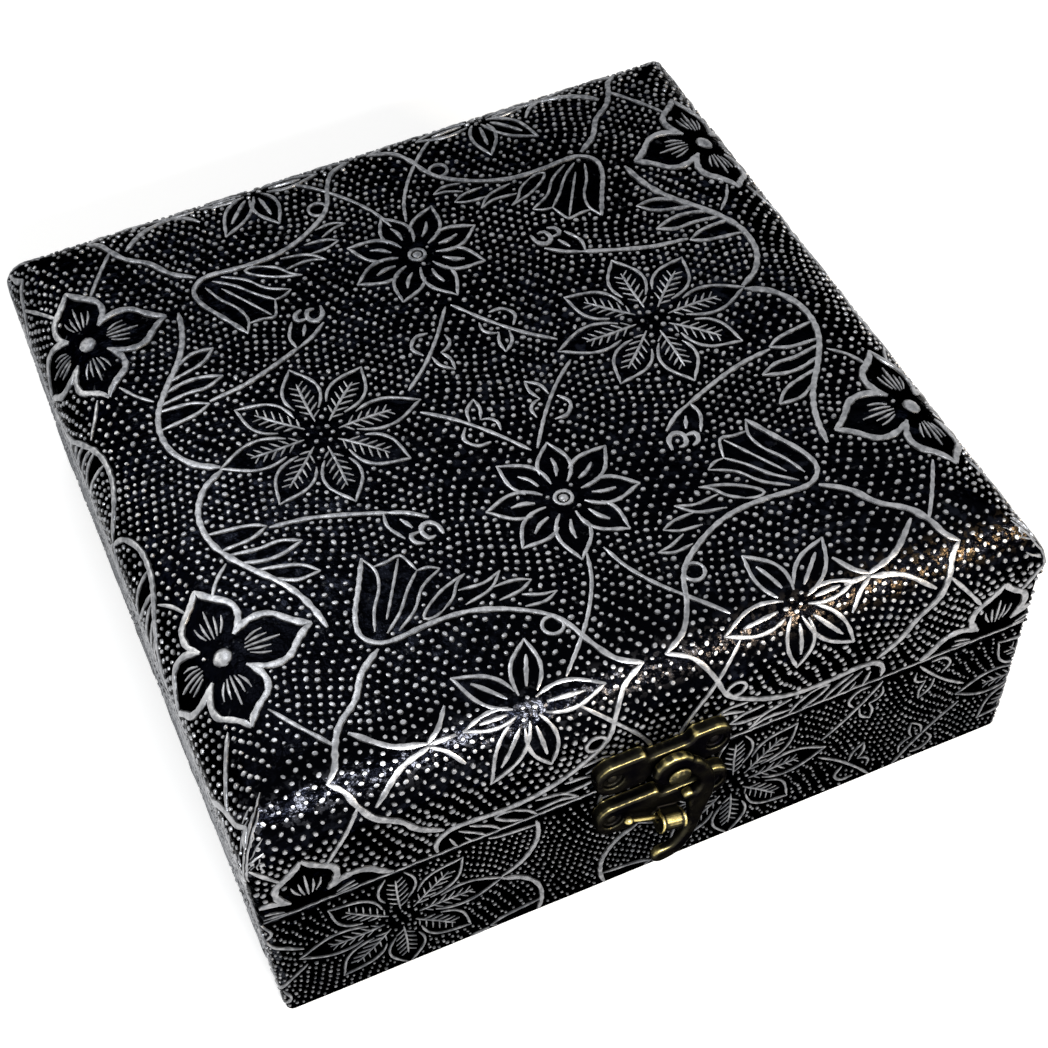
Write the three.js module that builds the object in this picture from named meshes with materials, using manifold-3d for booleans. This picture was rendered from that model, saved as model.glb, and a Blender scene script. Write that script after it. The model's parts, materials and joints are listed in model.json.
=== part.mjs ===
// A lidded keepsake box: a wooden base and a round-shouldered lid, both clad in embossed sheet metal,
// lined with velvet, hinged at the back and held shut at the front by a cast swing hook.
// Millimetres, +X to the right along the front, +Y to the back, +Z up, origin under the middle of the base.
import * as THREE from "three";
import { mergeVertices } from "three/addons/utils/BufferGeometryUtils.js";
import Module from "manifold-3d";

const wasm = await Module();
wasm.setup();

// Overall sizes
const boxWidth = 152;
const boxDepth = 154;
const boxHeight = 64;
const seamHeight = 35;
const cornerRadius = 1.8;
const shoulderAcross = 14;
const shoulderDown = 13;

// Sheet, timber and cloth thicknesses
const sheetThickness = 0.8;
const sheetTurnUnder = 6;
const wallThickness = 8;
const floorThickness = 5;
const lidBoardThickness = 13;
const liningThickness = 1.5;
const liningCornerRadius = 0.5;
const feltThickness = 0.6;
const feltMargin = 3;

// Clearances
const glueGap = 0.3;
const seamGap = 0.3;
const runningGap = 0.3;
const cutOverrun = 1;
const samePlace = 0.001;

// Back hinges, two alike
const hingeInset = 34;
const hingeWidth = 22;
const hingeLeafHeight = 11;
const hingeLeafThickness = 0.9;
const hingeLeafCorner = 2;
const hingeKnuckleRadius = 1.6;
const hingeMiddleKnuckle = 8;
const hingePinRadius = 0.7;
const hingePinGap = 0.2;
const hingePinHeadRadius = 1.1;
const hingePinHeadLength = 0.5;
const hingeStopReach = 5;
const hingeStopThickness = 1.2;
const hingeStopGap = 0.1;
const hingeOpenAngle = 105;
const hingeNailSpread = 14;
const hingeNailDrop = 7.4;

// Nails, all alike
const nailShankRadius = 0.5;
const nailLength = 7;
const nailHeadRadius = 1.1;
const nailHeadHeight = 0.6;

// Front latch: two cast plates alike but for where their waist lies
const latchAcross = -0.7;
const plateWidth = 26.2;
const plateHeight = 9;
const plateThickness = 2.6;
const plateCorner = 3.4;
const plateRound = 0.8;
const plateWaistWidth = 6.8;
const plateWaistDip = 1.7;
const plateLobeRun = 1.8;
const plateNailSpread = 19.8;
const nailDimpleRadius = 2;
const nailDimpleDepth = 0.9;
const lidPlateRise = 6.2;
const lidWaistAcross = 0.3;
const keeperPlateDrop = 7.4;
const keeperWaistAcross = 3;

// Front latch: rivet and swing hook
const pivotAcross = 0.8;
const pivotRise = 4.4;
const rivetRadius = 0.9;
const rivetHeadRadius = 2.2;
const rivetHeadHeight = 0.8;
const rivetSeatDepth = 1.8;
const hookThickness = 2;
const hookRound = 0.6;
const hookBossRadius = 4.1;
const hookBossAcross = -0.5;
const hookBossRise = 1;
const hookDrop = 29;
const hookNibRadius = 1.3;

// Front latch: the keeper's roller housing and its ball-ended pin
const barrelAcross = -0.4;
const barrelDrop = 10.4;
const barrelProud = 4.9;
const barrelRadius = 1.8;
const barrelLength = 5;
const barrelTilt = 16;
const barrelFlangeRadius = 2.1;
const barrelFlangeWidth = 0.5;
const barrelLugHeight = 3.4;
const pinProud = 3.9;
const pinTilt = 26;
const pinRadius = 0.5;
const pinLength = 8.2;
const pinSeatLength = 2;
const ballRadius = 0.9;

// The hook's middle line from its rivet down to the thumb tail, as shares of hookDrop:
// across from the rivet, down from the rivet, and the arm's width there
const hookLineShares = [
  [0.028, -0.076, 0.103],
  [0.107, -0.007, 0.117],
  [0.169, 0.086, 0.11],
  [0.209, 0.186, 0.103],
  [0.214, 0.276, 0.114],
  [0.186, 0.366, 0.159],
  [0.163, 0.462, 0.152],
  [0.153, 0.559, 0.117],
  [0.138, 0.662, 0.093],
  [0.11, 0.766, 0.093],
  [0.064, 0.862, 0.103],
  [0, 0.926, 0.124],
  [-0.085, 0.945, 0.138],
];
// The small nib on the hook's inner edge: across and down from the rivet, as shares of hookDrop
const hookNibShare = [0.09, 0.331];

// Finishes
const finishes = {
  sheet: { color: 0x24252c, roughness: 0.34, metalness: 0.85 },
  timber: { color: 0x6d4a2c, roughness: 0.75, metalness: 0 },
  velvet: { color: 0x17161c, roughness: 0.95, metalness: 0 },
  felt: { color: 0x14141a, roughness: 1, metalness: 0 },
  brass: { color: 0x6b5a2c, roughness: 0.42, metalness: 0.9 },
};

const fineSteps = 6;
const roundSteps = 16;
const bevelSteps = 2;
const hookStepsPerPoint = 3;
const straightShare = 0.001;

// Heights and half widths that follow from the sizes above
const lidBottom = seamHeight + seamGap / 2;
const baseTop = seamHeight - seamGap / 2;
const timberInset = sheetThickness + glueGap;
const roomHalfWidth = boxWidth / 2 - timberInset - wallThickness;
const roomHalfDepth = boxDepth / 2 - timberInset - wallThickness;
const baseWallBottom = feltThickness + sheetThickness + glueGap;
const baseWallTop = baseTop - sheetThickness - glueGap;
const floorBottom = feltThickness + glueGap;
const floorTop = floorBottom + floorThickness;
const lidWallBottom = lidBottom + sheetThickness + glueGap;
const lidBoardBottom = boxHeight - timberInset - lidBoardThickness;
const hingeAxisOut = runningGap + hingeKnuckleRadius;

// Turning an outline onto the object: along Z it lies in X and Y, along X in Y and Z,
// and towards the front or the back in X and Z
const axes = {
  x: new THREE.Vector3(1, 0, 0),
  y: new THREE.Vector3(0, 1, 0),
  z: new THREE.Vector3(0, 0, 1),
  left: new THREE.Vector3(-1, 0, 0),
  front: new THREE.Vector3(0, -1, 0),
};
const turns = {
  up: new THREE.Matrix4(),
  right: new THREE.Matrix4().makeBasis(axes.y, axes.z, axes.x),
  front: new THREE.Matrix4().makeBasis(axes.x, axes.z, axes.front),
  back: new THREE.Matrix4().makeBasis(axes.left, axes.z, axes.y),
};

// A three.js geometry, closed and then placed, as a solid that can be joined and cut
function solidOf(geometry, placing) {
  const bare = new THREE.BufferGeometry().setAttribute("position", geometry.getAttribute("position"));
  if (geometry.index) bare.setIndex(geometry.index);
  const merged = mergeVertices(bare).applyMatrix4(placing);
  return new wasm.Manifold(
    new wasm.Mesh({
      numProp: 3,
      vertProperties: merged.attributes.position.array,
      triVerts: new Uint32Array(merged.index.array),
    }),
  );
}

// A solid as a three.js geometry with flat-shaded faces
function geometryOf(solid) {
  const { numProp, vertProperties, triVerts } = solid.getMesh();
  const places = new Float32Array(triVerts.length * 3);
  triVerts.forEach((vertex, i) => {
    places.set(vertProperties.subarray(vertex * numProp, vertex * numProp + 3), i * 3);
  });
  const geometry = new THREE.BufferGeometry().setAttribute("position", new THREE.BufferAttribute(places, 3));
  geometry.computeVertexNormals();
  return geometry;
}

// An outline as straight steps, without doubled points where its arcs meet or points along a straight run
function stepped(outline) {
  const points = outline.getPoints(fineSteps);
  const apart = points.filter((point, i) => point.distanceTo(points.at(i - 1)) > samePlace);
  const turning = apart.filter((point, i) => {
    const before = point.clone().sub(apart.at(i - 1)).normalize();
    const after = apart.at(i + 1 - apart.length).clone().sub(point).normalize();
    return Math.abs(before.cross(after)) > straightShare;
  });
  return new THREE.Shape(turning);
}

// The placing of something drawn on the origin's plane: turned, and then moved out by a distance
function turnedOut(way, distance) {
  return turns[way].clone().multiply(new THREE.Matrix4().makeTranslation(0, 0, distance));
}

// An outline made solid between two distances from the origin along the way it is turned
function prism(outline, way, from, to) {
  const geometry = new THREE.ExtrudeGeometry(stepped(outline), { depth: to - from, bevelEnabled: false });
  return solidOf(geometry, turnedOut(way, from));
}

// The same with its far edge rounded over, as a casting's is
function softPrism(outline, way, from, to, round) {
  const geometry = new THREE.ExtrudeGeometry(stepped(outline), {
    depth: to - from,
    bevelThickness: round,
    bevelSize: round,
    bevelOffset: -round,
    bevelSegments: bevelSteps,
  });
  const whole = solidOf(geometry, turnedOut(way, from - round));
  const reach = boxWidth + boxDepth;
  return whole.intersect(prism(rectangle(-reach, reach, -reach, reach), way, from, to));
}

// The same with both edges rounded over
function pillPrism(outline, way, from, to, round) {
  const geometry = new THREE.ExtrudeGeometry(stepped(outline), {
    depth: to - from - 2 * round,
    bevelThickness: round,
    bevelSize: round,
    bevelOffset: -round,
    bevelSegments: bevelSteps,
  });
  return solidOf(geometry, turnedOut(way, from + round));
}

function rectangle(left, right, low, high) {
  return new THREE.Shape()
    .moveTo(left, low)
    .lineTo(right, low)
    .lineTo(right, high)
    .lineTo(left, high)
    .closePath();
}

function roundedRectangle(halfWidth, halfHeight, radius) {
  const inX = halfWidth - radius;
  const inY = halfHeight - radius;
  return new THREE.Shape()
    .absarc(inX, -inY, radius, -Math.PI / 2, 0)
    .absarc(inX, inY, radius, 0, Math.PI / 2)
    .absarc(-inX, inY, radius, Math.PI / 2, Math.PI)
    .absarc(-inX, -inY, radius, Math.PI, 1.5 * Math.PI)
    .closePath();
}

function disc(across, up, radius) {
  return new THREE.Shape().absarc(across, up, radius, 0, 2 * Math.PI).closePath();
}

function block(x0, x1, y0, y1, z0, z1) {
  return prism(rectangle(x0, x1, y0, y1), "up", z0, z1);
}

// A solid of revolution along X, from a profile of [along, radius] points that starts and ends on the axis
function turned(profile) {
  const points = profile.map(([along, radius]) => new THREE.Vector2(radius, along));
  return solidOf(new THREE.LatheGeometry(points, roundSteps), new THREE.Matrix4().makeRotationZ(-Math.PI / 2));
}

// The same pointing out of a face: its axis starts on the box's face plane at one place across and up
function turnedOn(way, profile, across, up, out) {
  const points = profile.map(([along, radius]) => new THREE.Vector2(radius, along));
  const placing = turnedOut(way, out)
    .multiply(new THREE.Matrix4().makeTranslation(across, up, 0))
    .multiply(new THREE.Matrix4().makeRotationX(Math.PI / 2));
  return solidOf(new THREE.LatheGeometry(points, roundSteps), placing);
}

// The box's plan and side outlines, drawn in from the outside by one inset
function planBlock(inset, bottom, top) {
  const outline = roundedRectangle(boxWidth / 2 - inset, boxDepth / 2 - inset, cornerRadius - inset / 2);
  return prism(outline, "up", bottom, top);
}

function shoulderOutline(halfWidth, inset, bottom) {
  const edge = halfWidth - inset;
  const centre = halfWidth - shoulderAcross;
  const start = boxHeight - shoulderDown;
  const across = shoulderAcross - inset;
  const down = shoulderDown - inset;
  return new THREE.Shape()
    .moveTo(-edge, bottom)
    .lineTo(edge, bottom)
    .absellipse(centre, start, across, down, 0, Math.PI / 2)
    .absellipse(-centre, start, across, down, Math.PI / 2, Math.PI)
    .closePath();
}

function lidBlock(inset, bottom) {
  const reach = boxWidth + boxDepth;
  const acrossWidth = prism(shoulderOutline(boxWidth / 2, inset, bottom), "front", -reach, reach);
  const acrossDepth = prism(shoulderOutline(boxDepth / 2, inset, bottom), "right", -reach, reach);
  return acrossWidth.intersect(acrossDepth).intersect(planBlock(inset, bottom, boxHeight + cutOverrun));
}

// The room inside the walls, as a tool that cuts the rims open
function roomBlock(bottom, top) {
  return block(-roomHalfWidth, roomHalfWidth, -roomHalfDepth, roomHalfDepth, bottom, top);
}

const object = new THREE.Group();
object.name = "keepsake_box";

function add(name, finish, solid) {
  const mesh = new THREE.Mesh(geometryOf(solid), new THREE.MeshStandardMaterial(finishes[finish]));
  mesh.name = name;
  object.add(mesh);
}

// Nail places: each has the way it faces, how far out its head's seat lies and where it is across and up
const plateSeat = plateThickness - nailDimpleDepth;
const lidPlateHeight = seamHeight + lidPlateRise;
const keeperPlateHeight = seamHeight - keeperPlateDrop;
const hingeCentre = boxWidth / 2 - hingeInset;
const nails = [];
for (const [side, sign] of [["left", -1], ["right", 1]]) {
  const plateAcross = latchAcross + (sign * plateNailSpread) / 2;
  const onPlate = { way: "front", seat: plateSeat, across: plateAcross };
  nails.push({ ...onPlate, name: "latch_plate_nail_" + side, part: "lid", up: lidPlateHeight });
  nails.push({ ...onPlate, name: "keeper_plate_nail_" + side, part: "base", up: keeperPlateHeight });
  for (const [place, along] of [["outer", 1], ["inner", -1]]) {
    const across = -sign * hingeCentre - (along * sign * hingeNailSpread) / 2;
    const onLeaf = { way: "back", seat: hingeLeafThickness, across };
    const ending = "_nail_" + side + "_" + place;
    nails.push({ ...onLeaf, name: "hinge_lid" + ending, part: "lid", up: seamHeight + hingeNailDrop });
    nails.push({ ...onLeaf, name: "hinge_base" + ending, part: "base", up: seamHeight - hingeNailDrop });
  }
}

// Cuts every nail's hole, a gap wider than its shank, through one piece
function drilled(solid, part) {
  for (const nail of nails.filter((one) => one.part === part)) {
    const hole = disc(nail.across, nail.up, nailShankRadius + glueGap);
    const outside = boxDepth / 2;
    solid = solid.subtract(
      prism(hole, nail.way, outside - nailLength - cutOverrun, outside + nail.seat + cutOverrun),
    );
  }
  return solid;
}

// Base: felt, floor and four boards under one folded sheet
const feltHalfWidth = boxWidth / 2 - feltMargin;
const feltHalfDepth = boxDepth / 2 - feltMargin;
add("underside_felt", "felt",
  block(-feltHalfWidth, feltHalfWidth, -feltHalfDepth, feltHalfDepth, 0, feltThickness));
add("base_floor_board", "timber", roomBlock(floorBottom, floorTop));

function addWalls(part, bottom, top) {
  const shell = drilled(planBlock(timberInset, bottom, top), part);
  const wide = boxWidth;
  const deep = boxDepth;
  const x = roomHalfWidth;
  const y = roomHalfDepth;
  const boards = {
    front_wall: block(-wide, wide, -deep, -y, bottom, top),
    back_wall: block(-wide, wide, y, deep, bottom, top),
    left_wall: block(-wide, -x, -y, y, bottom, top),
    right_wall: block(x, wide, -y, y, bottom, top),
  };
  for (const [name, slab] of Object.entries(boards)) {
    add(part + "_" + name, "timber", shell.intersect(slab));
  }
}
addWalls("base", baseWallBottom, baseWallTop);

const baseSheetInside = planBlock(sheetThickness, feltThickness + sheetThickness, baseTop - sheetThickness);
const turnUnderX = boxWidth / 2 - sheetTurnUnder;
const turnUnderY = boxDepth / 2 - sheetTurnUnder;
const baseSheet = planBlock(0, feltThickness, baseTop)
  .subtract(baseSheetInside)
  .subtract(block(-turnUnderX, turnUnderX, -turnUnderY, turnUnderY, 0, seamHeight / 2))
  .subtract(roomBlock(seamHeight / 2, boxHeight));
add("base_metal_sheet", "sheet", drilled(baseSheet, "base"));

// Velvet over card on the inside of each half
function addLinings(part, bottom, top) {
  const x = roomHalfWidth - glueGap;
  const y = roomHalfDepth - glueGap;
  const innerY = y - liningThickness - glueGap;
  const halfHeight = (top - bottom) / 2;
  const middle = (top + bottom) / 2;
  const long = roundedRectangle(x, halfHeight, liningCornerRadius);
  const short = roundedRectangle(innerY, halfHeight, liningCornerRadius);
  const lifted = (solid) => solid.translate([0, 0, middle]);
  const cloth = liningThickness;
  add(part + "_lining_front", "velvet", lifted(prism(long, "front", y - cloth, y)));
  add(part + "_lining_back", "velvet", lifted(prism(long, "back", y - cloth, y)));
  add(part + "_lining_left", "velvet", lifted(prism(short, "right", -x, -x + cloth)));
  add(part + "_lining_right", "velvet", lifted(prism(short, "right", x - cloth, x)));
}

function liningPanel(bottom) {
  const outline = roundedRectangle(roomHalfWidth - glueGap, roomHalfDepth - glueGap, liningCornerRadius);
  return prism(outline, "up", bottom, bottom + liningThickness);
}
const floorLiningTop = floorTop + glueGap + liningThickness;
add("base_lining_floor", "velvet", liningPanel(floorTop + glueGap));
addLinings("base", floorLiningTop + glueGap, baseTop - glueGap);

// Lid: four boards and a thick top board with round shoulders under one folded sheet
addWalls("lid", lidWallBottom, lidBoardBottom);
add("lid_top_board", "timber", drilled(lidBlock(timberInset, lidBoardBottom), "lid"));
const lidSheet = lidBlock(0, lidBottom)
  .subtract(lidBlock(sheetThickness, lidBottom + sheetThickness))
  .subtract(roomBlock(lidBottom - cutOverrun, lidBoardBottom));
add("lid_metal_sheet", "sheet", drilled(lidSheet, "lid"));
const lidLiningBottom = lidBoardBottom - glueGap - liningThickness;
add("lid_lining_top", "velvet", liningPanel(lidLiningBottom));
addLinings("lid", lidBottom + glueGap, lidLiningBottom - glueGap);

// Hinges: a base leaf with two outer knuckles, a lid leaf with the middle knuckle and its stop, and a pin.
// Each is drawn about its own axis, Y out from the box and Z up, and then moved to its place
const knuckleGapHalf = hingeMiddleKnuckle / 2 + runningGap / 2;
const leafStart = hingeKnuckleRadius + runningGap;

function knuckle(x0, x1) {
  return prism(disc(0, 0, hingeKnuckleRadius), "right", x0, x1);
}

function leafPlate(sign) {
  const corner = hingeLeafCorner;
  const outline = roundedRectangle(hingeWidth / 2, hingeLeafHeight, corner);
  const plate = prism(outline, "back", -hingeAxisOut, hingeLeafThickness - hingeAxisOut);
  const half = hingeWidth;
  const outlineHalf = rectangle(-half, half, sign < 0 ? -half : 0, sign < 0 ? 0 : half);
  return plate.intersect(prism(outlineHalf, "back", -hingeAxisOut - cutOverrun, hingeAxisOut));
}

function pinBore() {
  const bore = disc(0, 0, hingePinRadius + hingePinGap);
  return prism(bore, "right", -hingeWidth, hingeWidth);
}

function baseLeaf() {
  const middle = rectangle(-knuckleGapHalf, knuckleGapHalf, -leafStart, leafStart);
  return leafPlate(-1)
    .subtract(prism(middle, "back", -hingeAxisOut - cutOverrun, hingeAxisOut))
    .add(knuckle(-hingeWidth / 2, -knuckleGapHalf))
    .add(knuckle(knuckleGapHalf, hingeWidth / 2))
    .subtract(pinBore());
}

function lidLeaf() {
  const half = hingeMiddleKnuckle / 2 - runningGap / 2;
  const sides = [rectangle(-hingeWidth, -half, -leafStart, leafStart),
    rectangle(half, hingeWidth, -leafStart, leafStart)];
  let leaf = leafPlate(1);
  for (const side of sides) {
    leaf = leaf.subtract(prism(side, "back", -hingeAxisOut - cutOverrun, hingeAxisOut));
  }
  // Fully open, the stop hangs down beside the base leaf's outer face, so it is drawn there and turned back
  const stopInner = hingeLeafThickness - hingeAxisOut + hingeStopGap;
  const stopOutline = rectangle(stopInner, stopInner + hingeStopThickness, -hingeStopReach, 0);
  const stop = prism(stopOutline, "right", -half, half).rotate([hingeOpenAngle, 0, 0]);
  return leaf.add(knuckle(-half, half)).add(stop).subtract(pinBore());
}

function hingePin() {
  const half = hingeWidth / 2;
  const head = hingePinHeadLength;
  return turned([
    [-half - runningGap - head, 0],
    [-half - runningGap - head, hingePinHeadRadius / 2],
    [-half - runningGap - head / 2, hingePinHeadRadius],
    [-half - runningGap, hingePinHeadRadius],
    [-half - runningGap, hingePinRadius],
    [half + runningGap, hingePinRadius],
    [half + runningGap, hingePinHeadRadius],
    [half + runningGap + head / 2, hingePinHeadRadius],
    [half + runningGap + head, hingePinHeadRadius / 2],
    [half + runningGap + head, 0],
  ]);
}

const hingeLine = boxDepth / 2 + hingeAxisOut;
for (const [side, sign] of [["left", -1], ["right", 1]]) {
  const place = [sign * hingeCentre, hingeLine, seamHeight];
  add("hinge_base_leaf_" + side, "brass", drilled(baseLeaf().translate(place), "base"));
  add("hinge_lid_leaf_" + side, "brass", drilled(lidLeaf().translate(place), "lid"));
  add("hinge_pin_" + side, "brass", hingePin().translate(place));
}

// Nails: a plain shank under a low domed head
function nailSolid({ way, seat, across, up }) {
  const head = nailHeadRadius;
  const profile = [
    [-nailLength, 0],
    [-nailLength + nailShankRadius, nailShankRadius],
    [0, nailShankRadius],
    [0, head],
    [nailHeadHeight / 2, head],
    [nailHeadHeight, head / 2],
    [nailHeadHeight, 0],
  ];
  return turnedOn(way, profile, across, up, boxDepth / 2 + seat);
}
for (const nail of nails) add(nail.name, "brass", nailSolid(nail));

// Latch plates: two rounded lobes joined at a lower waist, dished where the nails sit
function plateOutline(up, waistAcross) {
  const right = latchAcross + plateWidth / 2;
  const left = latchAcross - plateWidth / 2;
  const y = plateHeight / 2;
  const waistY = y - plateWaistDip;
  const corner = plateCorner;
  const run = plateLobeRun;
  const waistRight = waistAcross + plateWaistWidth / 2;
  const waistLeft = waistAcross - plateWaistWidth / 2;
  const shape = new THREE.Shape().moveTo(waistRight + run, up - y).lineTo(right - corner, up - y);
  shape.absarc(right - corner, up - y + corner, corner, -Math.PI / 2, 0);
  shape.absarc(right - corner, up + y - corner, corner, 0, Math.PI / 2);
  shape.lineTo(waistRight + run, up + y);
  shape.bezierCurveTo(waistRight + run / 2, up + y, waistRight + run / 2, up + waistY, waistRight, up + waistY);
  shape.lineTo(waistLeft, up + waistY);
  shape.bezierCurveTo(waistLeft - run / 2, up + waistY, waistLeft - run / 2, up + y, waistLeft - run, up + y);
  shape.absarc(left + corner, up + y - corner, corner, Math.PI / 2, Math.PI);
  shape.absarc(left + corner, up - y + corner, corner, Math.PI, 1.5 * Math.PI);
  shape.lineTo(waistLeft - run, up - y);
  shape.bezierCurveTo(waistLeft - run / 2, up - y, waistLeft - run / 2, up - waistY, waistLeft, up - waistY);
  shape.lineTo(waistRight, up - waistY);
  shape.bezierCurveTo(waistRight + run / 2, up - waistY, waistRight + run / 2, up - y, waistRight + run, up - y);
  return shape;
}

function castPlate(up, waistAcross) {
  const face = boxDepth / 2;
  let plate = softPrism(plateOutline(up, waistAcross), "front", face, face + plateThickness, plateRound);
  for (const sign of [-1, 1]) {
    const dimple = disc(latchAcross + (sign * plateNailSpread) / 2, up, nailDimpleRadius);
    plate = plate.subtract(prism(dimple, "front", face + plateSeat, face + plateThickness + cutOverrun));
  }
  return plate;
}

const pivotHeight = seamHeight + pivotRise;
const hookBack = boxDepth / 2 + plateThickness + runningGap;
const hookFront = hookBack + hookThickness;
const pivotHole = disc(pivotAcross, pivotHeight, rivetRadius + runningGap);
const rivetSeat = boxDepth / 2 + plateThickness - rivetSeatDepth;
add("latch_plate", "brass",
  drilled(castPlate(lidPlateHeight, lidWaistAcross), "lid").subtract(prism(pivotHole, "front", rivetSeat, hookFront)));

// Rivet: a shank seated in the plate with a domed head in front of the hook
const rivetLength = hookFront + runningGap - rivetSeat - glueGap;
const rivetProfile = [
  [0, 0],
  [0, rivetRadius],
  [rivetLength, rivetRadius],
  [rivetLength, rivetHeadRadius],
  [rivetLength + rivetHeadHeight / 2, rivetHeadRadius],
  [rivetLength + rivetHeadHeight, rivetHeadRadius / 2],
  [rivetLength + rivetHeadHeight, 0],
];
add("latch_rivet", "brass", turnedOn("front", rivetProfile, pivotAcross, pivotHeight, rivetSeat + glueGap));

// Swing hook: a wide head over the rivet and an arm that arches over, grips past the keeper's roller
// housing and curls back under it. The arm's two edges are its middle line moved out by half its width
function hookArm() {
  const at = (share) => share * hookDrop;
  const middle = new THREE.CatmullRomCurve3(
    hookLineShares.map(([across, down, width]) =>
      new THREE.Vector3(pivotAcross + at(across), pivotHeight - at(down), at(width) / 2)),
  );
  const steps = hookStepsPerPoint * hookLineShares.length;
  const near = [];
  const far = [];
  for (let i = 0; i <= steps; i++) {
    const point = middle.getPoint(i / steps);
    const tangent = middle.getTangent(i / steps);
    const side = new THREE.Vector2(-tangent.y, tangent.x).normalize().multiplyScalar(point.z);
    near.push(new THREE.Vector2(point.x + side.x, point.y + side.y));
    far.push(new THREE.Vector2(point.x - side.x, point.y - side.y));
  }
  return new THREE.Shape([...near, ...far.reverse()]);
}

function swingHook() {
  const [tailAcross, tailDown, tailWidth] = hookLineShares.at(-1).map((share) => share * hookDrop);
  const [nibAcross, nibDown] = hookNibShare.map((share) => share * hookDrop);
  const outlines = [
    hookArm(),
    disc(pivotAcross + hookBossAcross, pivotHeight + hookBossRise, hookBossRadius),
    disc(pivotAcross + tailAcross, pivotHeight - tailDown, tailWidth / 2),
    disc(pivotAcross + nibAcross, pivotHeight - nibDown, hookNibRadius),
  ];
  return outlines
    .map((outline) => pillPrism(outline, "front", hookBack, hookFront, hookRound))
    .reduce((whole, piece) => whole.add(piece))
    .subtract(prism(pivotHole, "front", rivetSeat, hookFront + cutOverrun));
}
add("latch_hook", "brass", swingHook());

// Keeper: the second plate with a flanged roller housing on a lug, and a ball-ended pin beside it
const barrelHeight = seamHeight - barrelDrop;
const barrelPlace = [barrelAcross, -boxDepth / 2 - barrelProud, barrelHeight];
function rollerHousing() {
  const half = barrelLength / 2;
  return turned([
    [-half, 0],
    [-half, barrelFlangeRadius],
    [barrelFlangeWidth - half, barrelFlangeRadius],
    [barrelFlangeWidth - half, barrelRadius],
    [half - barrelFlangeWidth, barrelRadius],
    [half - barrelFlangeWidth, barrelFlangeRadius],
    [half, barrelFlangeRadius],
    [half, 0],
  ]);
}

function keeperLug() {
  const half = barrelLength / 2 - barrelFlangeWidth;
  const back = barrelProud - plateThickness + plateRound;
  return prism(rectangle(-half, half, -barrelLugHeight / 2, barrelLugHeight / 2), "front", -back, 0);
}

const tilted = (solid, angle, place) => solid.rotate([0, angle, 0]).translate(place);
const pinPlace = [barrelAcross, -boxDepth / 2 - pinProud, barrelHeight];
const pinStart = -barrelLength / 2 + pinSeatLength / 2;

function ballPin() {
  const rod = pinRadius;
  const end = pinStart - pinLength + ballRadius;
  const round = new THREE.SphereGeometry(ballRadius, roundSteps, roundSteps / 2);
  const ball = solidOf(round, new THREE.Matrix4().makeTranslation(end, 0, 0));
  return turned([
    [end, 0],
    [end, rod],
    [pinStart, rod],
    [pinStart, 0],
  ]).add(ball);
}

function pinSocket() {
  const radius = pinRadius + runningGap;
  return turned([
    [pinStart - pinLength, 0],
    [pinStart - pinLength, radius],
    [pinStart + runningGap, radius],
    [pinStart + runningGap, 0],
  ]);
}
const keeper = drilled(castPlate(keeperPlateHeight, keeperWaistAcross), "base")
  .add(tilted(rollerHousing().add(keeperLug()), barrelTilt, barrelPlace))
  .subtract(tilted(pinSocket(), pinTilt, pinPlace));
add("keeper_plate", "brass", keeper);
add("keeper_ball_pin", "brass", tilted(ballPin(), pinTilt, pinPlace));

export default object;
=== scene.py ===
"""The looks of a lidded keepsake box: embossed sheet over timber, velvet inside, antique brass fittings."""

import functools
import json
import math
import random

import bmesh
import bpy
import numpy as np
from mathutils import Matrix, Vector, kdtree, noise


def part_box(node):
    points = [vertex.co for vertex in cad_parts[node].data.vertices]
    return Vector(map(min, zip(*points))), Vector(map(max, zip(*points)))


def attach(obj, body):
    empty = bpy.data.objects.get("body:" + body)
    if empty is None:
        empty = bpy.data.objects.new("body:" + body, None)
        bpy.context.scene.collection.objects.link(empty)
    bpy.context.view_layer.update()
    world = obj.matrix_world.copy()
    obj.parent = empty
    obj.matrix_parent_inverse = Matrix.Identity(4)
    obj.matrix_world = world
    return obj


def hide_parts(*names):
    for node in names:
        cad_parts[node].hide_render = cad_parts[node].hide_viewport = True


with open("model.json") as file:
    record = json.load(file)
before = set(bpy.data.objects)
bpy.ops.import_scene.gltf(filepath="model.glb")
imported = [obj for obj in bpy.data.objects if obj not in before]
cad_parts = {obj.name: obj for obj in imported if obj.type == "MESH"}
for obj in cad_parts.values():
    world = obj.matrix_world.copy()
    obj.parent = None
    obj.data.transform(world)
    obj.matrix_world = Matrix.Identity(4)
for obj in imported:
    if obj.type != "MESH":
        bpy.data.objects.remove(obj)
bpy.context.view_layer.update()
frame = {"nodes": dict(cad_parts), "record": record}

bl_info = {
    "name": "Keepsake box looks",
    "version": (1, 0, 0),
    "blender": (4, 5, 0),
    "location": "View3D > Sidebar > Keepsake box",
    "description": "Dresses a lidded box in embossed sheet, velvet and antique brass",
    "category": "Object",
}

MM = 0.001
LID_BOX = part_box("lid_metal_sheet")
BASE_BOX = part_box("base_metal_sheet")

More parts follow.
